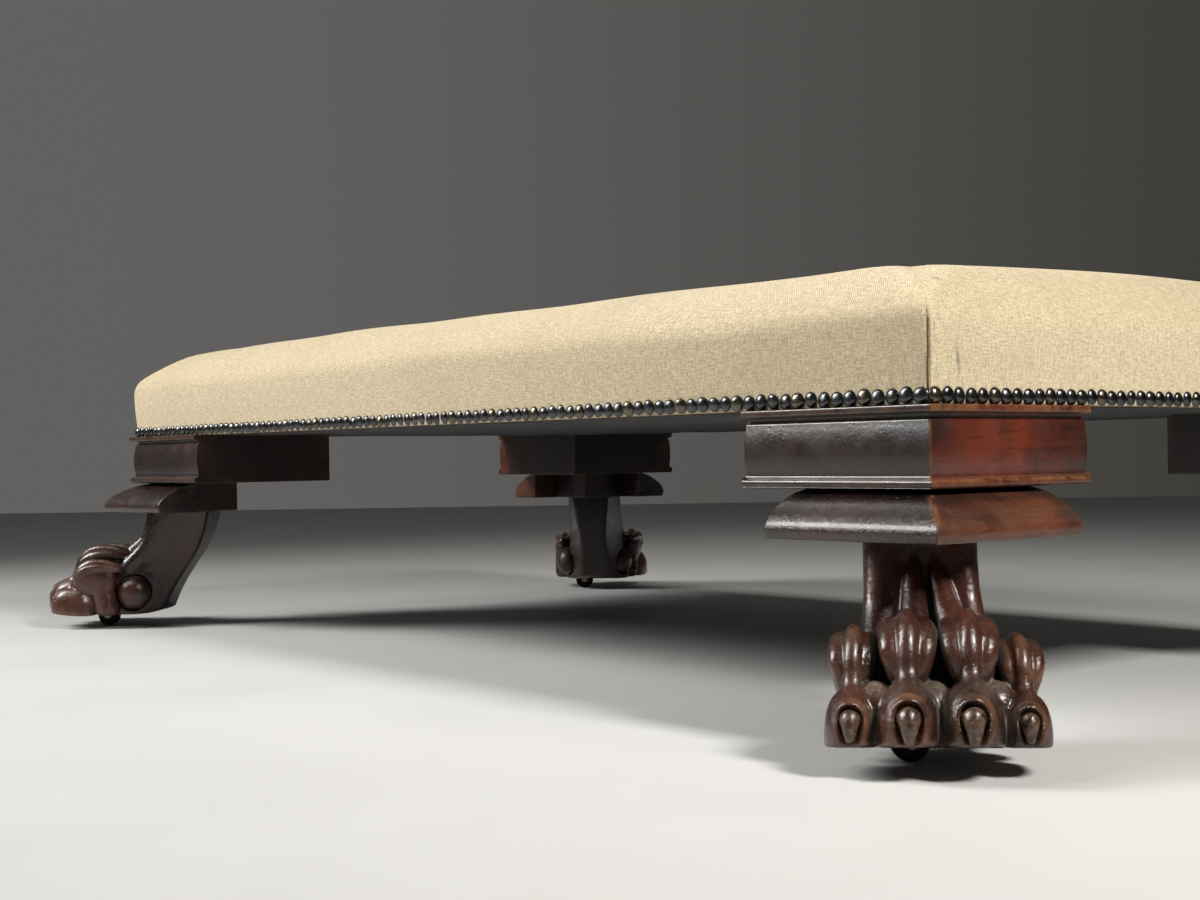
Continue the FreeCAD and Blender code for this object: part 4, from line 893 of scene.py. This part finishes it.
def stuffing_rise(x, y):
    """Unevenness of the crown."""
    rise = 0.7 * np.sin(x / 83 + 0.4) * np.sin(y / 71 + 1.1) + 0.5 * np.sin(x / 37 + y / 53)
    for place_x, place_y, reach_x, reach_y, height in SWELLS:
        rise = rise + height * np.exp(-((x - place_x) / reach_x) ** 2 - ((y - place_y) / reach_y) ** 2)
    return rise


def section_curve():
    """Section as a smooth curve, with the length run along it."""
    run = np.concatenate([[0], np.cumsum(np.linalg.norm(np.diff(SECTION, axis=0), axis=1))])
    fine = np.linspace(0, run[-1], 600)
    smooth = np.stack([np.interp(fine, run, column) for column in SECTION.T], 1)
    for _ in range(60):
        smooth[1:-1] = (smooth[:-2] + 2 * smooth[1:-1] + smooth[2:]) / 4
    return fine, smooth


def grade(half):
    """Grid lines over a side, fine near both ends."""
    end = np.concatenate([steps(half - 36, half - 12, 3.0), steps(half - 12, half, 1.2)[1:]])
    middle = steps(-half + 36, half - 36, 9.0)
    return np.concatenate([-end[::-1], middle[1:-1], end])


def grid_cells(index):
    """Four-sided cells of a grid of point numbers."""
    corners = (index[:-1, :-1], index[1:, :-1], index[1:, 1:], index[:-1, 1:])
    return np.stack(corners, -1).reshape(-1, 4)


def on_rounded(spots, far, core, radius):
    """Points of a rounded outline, by their distances from the middle and those of the rounding's centre."""
    near = np.minimum(far, core)
    way = far - near
    turning = way.min(1, keepdims=True) > 0
    size = np.where(turning, np.linalg.norm(way, axis=1, keepdims=True), 1)
    return np.copysign(near + np.where(turning, way / size * radius, way), spots)


def seat_cover():
    """Crown and border of the linen cover, its corners' places on the flat sheet, and the border's rings."""
    lengths, curve = section_curve()
    turn_over = float(np.interp(SHOULDER, curve[:, 1], lengths))
    inset = float(np.interp(turn_over, lengths, curve[:, 0]))
    over = lengths >= turn_over - 1
    top = np.array((FACE_X - inset, FACE_Y - inset))
    spots = np.stack(np.meshgrid(*(grade(half) for half in top), indexing="ij"), -1)
    index = np.arange(spots[..., 0].size).reshape(spots.shape[:2])
    spots = spots.reshape(-1, 2)
    # Crown: rounded rings, lifted by the section
    gaps = top - np.abs(spots)
    least = gaps.min(1)
    soft = 10.0 + 0.5 * np.maximum(least - 10, 0)
    gap = np.where(np.abs(gaps[:, 0] - gaps[:, 1]) > soft, least, soft_min(*gaps.T, soft))
    drawn_in = inset + np.maximum(gap, 0)
    edge = top - least[:, None]
    radius = np.minimum(np.interp(drawn_in, ROUNDED_AT, ROUNDING), edge.min(1))[:, None]
    crown = on_rounded(spots, np.abs(spots), np.maximum(edge - radius, 0), radius)
    points = [np.column_stack((crown, np.interp(drawn_in, curve[over, 0], curve[over, 1])))]
    faces = [grid_cells(index)]
    flat = [spots[faces[0]]]
    # Border: rings that leave the crown's edge, which is drawn out to the corners
    ring = np.concatenate([index[:, 0], index[-1, 1:], index[-2::-1, -1], index[0, -2:0:-1]])
    rings, border = [ring], spots[ring]
    along_x = (border[:, 1] == np.roll(border[:, 1], -1, 0))[:, None, None]
    sheets = [(border, border)]
    for length in steps(turn_over, 0, 6.0)[1:]:
        drawn_in, height = (np.interp(length, lengths, column) for column in curve.T)
        out, radius = inset - drawn_in, np.interp(drawn_in, ROUNDED_AT, ROUNDING)
        far = np.abs(border)
        far = far + out * np.clip((far - top) / CORNER_STRETCH + 1, 0, 1)
        rounded = on_rounded(border, far, top + out - radius, radius)
        points.append(np.column_stack((rounded, np.full(len(ring), height))))
        rings.append(np.arange(len(ring)) + rings[-1].max() + 1)
        sheets.append((np.copysign(far, border), border + np.copysign(turn_over - length, border)))
    for level in range(len(rings) - 1):
        first, last = rings[level], rings[level + 1]
        faces.append(np.stack([first, last, np.roll(last, -1), np.roll(first, -1)], 1))
        (upper_far, upper_drop), (lower_far, lower_drop) = sheets[level], sheets[level + 1]
        far = (upper_far, lower_far, np.roll(lower_far, -1, 0), np.roll(upper_far, -1, 0))
        drop = (upper_drop, lower_drop, np.roll(lower_drop, -1, 0), np.roll(upper_drop, -1, 0))
        far, drop = np.stack(far, 1), np.stack(drop, 1)
        flat.append(np.where(along_x ^ np.array((False, True)), far, drop))
    return np.concatenate(points), np.concatenate(faces).tolist(), np.concatenate(flat), rings


def read_points(mesh):
    places = np.zeros(len(mesh.vertices) * 3)
    mesh.vertices.foreach_get("co", places)
    return places.reshape(-1, 3)


def write_points(mesh, places):
    mesh.vertices.foreach_set("co", places.ravel())
    mesh.update()


def settle(piece, pinned):
    """Let the cover settle under the pressure of its stuffing, little inward and no further than the cap."""
    start = read_points(piece.data)
    held = piece.vertex_groups.new(name="nailed")
    held.add(pinned, 1.0, "REPLACE")
    cloth = piece.modifiers.new("settling", "CLOTH")
    rules = cloth.settings
    rules.quality = 6
    rules.mass = 0.4
    rules.tension_stiffness = rules.compression_stiffness = 30
    rules.shear_stiffness = 12
    rules.bending_stiffness = 4
    rules.vertex_group_mass = "nailed"
    rules.use_pressure = True
    rules.uniform_pressure_force = 3.0
    rules.effector_weights.gravity = 0
    cloth.collision_settings.use_collision = False
    cloth.collision_settings.use_self_collision = False
    cloth.point_cache.frame_end = SETTLE_FRAMES
    scene = bpy.context.scene
    for number in range(1, SETTLE_FRAMES + 1):
        scene.frame_set(number)
    settled = piece.evaluated_get(bpy.context.evaluated_depsgraph_get())
    moved = read_points(settled.data) - start
    piece.modifiers.remove(cloth)
    piece.vertex_groups.remove(held)
    scene.frame_set(1)
    moved[:, :2] *= np.where(moved[:, :2] * start[:, :2] < 0, SETTLE_INWARD, 1.0)
    far = np.linalg.norm(moved, axis=1, keepdims=True)
    write_points(piece.data, start + moved * np.minimum(1, SETTLE_CAP / np.maximum(far, 1e-9)))


def shape_details(piece):
    """Pleat down each corner with painted shade in its groove, puckers between the nails, soft unevenness,
    and two small marks.
    """
    places = read_points(piece.data) / MM
    x, y, z = places.T
    on_long = np.abs(np.abs(y) - FACE_Y) < np.abs(np.abs(x) - FACE_X)
    along = np.where(on_long, x, y)
    outward = np.stack([np.where(on_long, 0, np.sign(x)), np.where(on_long, np.sign(y), 0)], 1)
    pucker = -0.9 * smooth_rise(z, 262, 240) * (0.5 - 0.5 * np.cos(FULL_TURN * along / NAIL_PITCH))
    drift = 0.8 * np.sin(along / 61 + 1.3) * np.sin(z / 17 + along / 130) * smooth_rise(z, 303, 288)
    places[:, :2] += outward * (pucker + drift)[:, None]
    places[:, 2] += stuffing_rise(x, y) * smooth_rise(z, 318, 336)
    seam = FACE_Y - np.abs(y) - (FACE_X - np.abs(x)) + 0.6
    depth = smooth_rise(z, 307, 288)
    groove = np.exp(-(seam / 1.15) ** 2) * depth
    lip = np.exp(-((seam - 3.0) / 1.9) ** 2) * depth
    inward = np.stack([-np.sign(x), -np.sign(y)], 1) / math.sqrt(2)
    places[:, :2] += inward * (1.9 * groove - 0.9 * lip)[:, None]
    write_points(piece.data, places * MM)
    smear = np.exp(-((y + 338 + (z - 266) * 0.25) / 1.6) ** 2 - ((z - 263) / 9.0) ** 2) * (x > FACE_X - 20)
    nick = np.exp(-((x - 604) / 4.0) ** 2 - ((y + 325) / 2.5) ** 2) * (z > 300)
    # The pleat's groove carries painted shade; the smear and nick are marks on the cloth
    add_marks(piece, shade=groove * 0.34, mark=np.clip(0.75 * smear + 0.6 * nick, 0, 1))


def drawn_out(work, rim):
    """New rim extruded from the old: its edges and its points."""
    made = bmesh.ops.extrude_edge_only(work, edges=rim)["geom"]
    edges = [g for g in made if isinstance(g, bmesh.types.BMEdge)]
    return edges, {v for e in edges for v in e.verts}


def close_under(piece):
    """Hem, inner face beside the rails, and the underside on the webbing."""
    work = bmesh.new()
    work.from_mesh(piece.data)
    far_x, far_y = (HALF_LENGTH - HEM_INSET) * MM, (HALF_WIDTH - HEM_INSET) * MM
    rim, hem = drawn_out(work, [e for e in work.edges if e.is_boundary])
    for vert in hem:
        vert.co.x = min(max(vert.co.x, -far_x), far_x)
        vert.co.y = min(max(vert.co.y, -far_y), far_y)
    rim, inner = drawn_out(work, rim)
    for vert in inner:
        vert.co.z = UNDERSIDE * MM
    bmesh.ops.contextual_create(work, geom=rim)
    bmesh.ops.recalc_face_normals(work, faces=work.faces)
    work.to_mesh(piece.data)
    work.free()


def make_seat():
    points, faces, flat, rings = seat_cover()
    piece = stool_piece("linen_seat", make_mesh("linen_seat", points, faces))
    layer = piece.data.uv_layers.new(name="sheet")
    layer.data.foreach_set("uv", flat.ravel() * MM)
    settle(piece, np.concatenate(rings[-3:]).tolist())
    finer = piece.modifiers.new("finer", "SUBSURF")
    finer.subdivision_type = "SIMPLE"
    finer.levels = finer.render_levels = 1
    full = bpy.data.meshes.new_from_object(piece.evaluated_get(bpy.context.evaluated_depsgraph_get()))
    piece.modifiers.remove(finer)
    piece.data = full
    shape_details(piece)
    close_under(piece)
    full.polygons.foreach_set("use_smooth", [True] * len(full.polygons))
    full.materials.append(LINEN)
    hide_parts("linen_cover", "stuffing_pad")


# Dust cover
DUST_INSET = 18
DUST_CUTOUT = 181
DUST_SPACING = 14


def dust_lines(near, far):
    middle = steps(-near, near, DUST_SPACING)[1:-1]
    return np.concatenate([steps(-far, -near, DUST_SPACING), middle, steps(near, far, DUST_SPACING)])


def dust_cover():
    """Thin dark cloth tacked under the rails, sagging a little between its edges."""
    far_x, far_y = HALF_LENGTH - DUST_INSET, HALF_WIDTH - DUST_INSET
    near_x, near_y = HALF_LENGTH - DUST_CUTOUT, HALF_WIDTH - DUST_CUTOUT
    x, y = np.meshgrid(dust_lines(near_x, far_x), dust_lines(near_y, far_y), indexing="ij")
    out_x, out_y = np.abs(x), np.abs(y)
    gap = np.minimum(far_x - out_x, far_y - out_y)
    gap = np.where(out_x > near_x, np.minimum(gap, near_y - out_y), gap)
    gap = np.where(out_y > near_y, np.minimum(gap, near_x - out_x), gap)
    belly = (1 - (x / far_x) ** 2) * (1 - (y / far_y) ** 2)
    ripple = 0.5 * np.sin(x / 23 + y / 190) * np.sin(y / 140 + 0.6) + 0.35 * np.sin(y / 19 + x / 210)
    sag = 5.0 * belly * smooth_rise(gap, 0, 160) + ripple * smooth_rise(gap, 0, 30)
    cloth = (out_x <= near_x + 0.01) | (out_y <= near_y + 0.01)
    index = np.full(x.shape, -1)
    index[cloth] = np.arange(cloth.sum())
    points = np.stack([x, y, RAIL_FOOT - 0.5 - np.maximum(sag, 0)], -1)[cloth]
    faces = grid_cells(index)[:, [0, 3, 2, 1]]
    faces = faces[faces.min(1) >= 0].tolist()
    piece = stool_piece("dust_cloth", make_mesh("dust_cloth", points, faces))
    piece.data.materials.append(DUST_CLOTH)
    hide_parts("dust_cover")


def kept_nodes():
    """Materials of the nodes whose own shapes show."""
    wooden = ("front_rail", "back_rail", "left_rail", "right_rail", "corner_braces", "leg_dowels")
    looks = dict.fromkeys(wooden, FRAME_WOOD)
    looks |= {"long_webbing": JUTE, "cross_webbing": JUTE, "base_hessian": HESSIAN}
    looks["castor_screws"] = SCREW_STEEL
    metals = {"plate": CASTOR_BRASS, "fork": CASTOR_BRASS, "axle": SCREW_STEEL, "wheel": CASTOR_IRON}
    for corner in CORNERS:
        looks |= {f"{corner}_castor_{part}": metal for part, metal in metals.items()}
    for node, material in looks.items():
        slots = nodes[node].data.materials
        slots.clear()
        slots.append(material)


# Stage, light and camera
def stage_floor():
    heading = math.atan2(0.6324, -0.7747)
    mesh = bpy.data.meshes.new("floor")
    mesh.from_pydata([(-7, -7, 0), (5.0, -7, 0), (5.0, 7, 0), (-7, 7, 0)], [], [(0, 1, 2, 3)])
    floor = add_object("floor", mesh, Matrix.Rotation(heading, 4, "Z"))
    shader = Shader("pale_floor")
    shader.set(Specular_IOR_Level=0.3)
    colour = shader.mix(shader.noise(1.7), (0.51, 0.513, 0.506), (0.568, 0.571, 0.563))
    rough = shader.ramp(shader.noise(5, None, 5), 0.3, 0.7, 0.48, 0.58)
    mesh.materials.append(shader.finish(colour, rough))


def lamp(name, place, target, size, power, colour):
    data = bpy.data.lights.new(name, "AREA")
    data.shape = "RECTANGLE"
    data.size, data.size_y = size
    data.spread = math.radians(100)
    data.energy = power
    data.color = colour
    light = add_object(name, data)
    light.location = place
    light.rotation_euler = (Vector(target) - Vector(place)).to_track_quat("-Z", "Y").to_euler()


def studio():
    """Dark grey room, paler to the camera's left, lit by three soft lamps."""
    world = bpy.data.worlds.new("studio")
    bpy.context.scene.world = world
    world.use_nodes = True
    room = Tree(world.node_tree)
    direction = room.node("TexCoord", out="Generated")
    inputs = {0: direction, 1: (-0.632, -0.775, 0)}
    leftward = room.node("VectorMath", inputs, "Value", operation="DOT_PRODUCT")
    seen = room.mix(room.ramp(leftward, -0.62, 0.3), (0.030, 0.027, 0.023), (0.122, 0.119, 0.114))
    direct = room.node("LightPath", out="Is Camera Ray")
    for ray in ("Is Glossy Ray", "Is Transmission Ray"):
        direct = room.math("MAXIMUM", direct, room.node("LightPath", out=ray))
    background = world.node_tree.nodes["Background"].inputs["Color"]
    room.feed(background, room.mix(direct, (0.05, 0.05, 0.049), seen))
    lamp("key", (2.2, -0.15, 1.75), (0.5, -0.3, 0.1), (0.45, 0.6), 23.5, (1.0, 0.97, 0.91))
    lamp("fill", (-1.5, -2.0, 1.7), (0, -0.4, 0.2), (0.9, 1.1), 31, (1.0, 0.985, 0.96))
    lamp("strip", (-0.47, -1.55, 2.0), (0.5, -0.4, 0.2), (0.35, 0.7), 3.6, (1.0, 0.98, 0.95))


# Camera fitted to the photograph: place in metres, turns in degrees, and focal length in pixels of its width
CAMERA_PLACE = (1.35202, -1.23816, 0.20213)
CAMERA_TURNS = (50.777, 0.177, -0.855)
FOCAL_PIXELS = 1674
PHOTO_WIDTH = 1200
SENSOR_WIDTH = 36.0


def camera():
    yaw, pitch, roll = (math.radians(v) for v in CAMERA_TURNS)
    level = Matrix.Rotation(yaw, 4, "Z") @ Matrix.Rotation(math.pi / 2 + pitch, 4, "X")
    turned = level @ Matrix.Rotation(roll, 4, "Z")
    data = bpy.data.cameras.new("photo_view")
    data.sensor_fit = "HORIZONTAL"
    data.sensor_width = SENSOR_WIDTH
    data.lens = SENSOR_WIDTH * FOCAL_PIXELS / PHOTO_WIDTH
    data.clip_start = 0.02
    bpy.context.scene.camera = add_object("photo_view", data, Matrix.Translation(CAMERA_PLACE) @ turned)


paw_legs()
corner_woodwork()
dome_nails()
make_seat()
dust_cover()
kept_nodes()
stage_floor()
studio()
camera()
bpy.context.scene.view_settings.view_transform = "Standard"
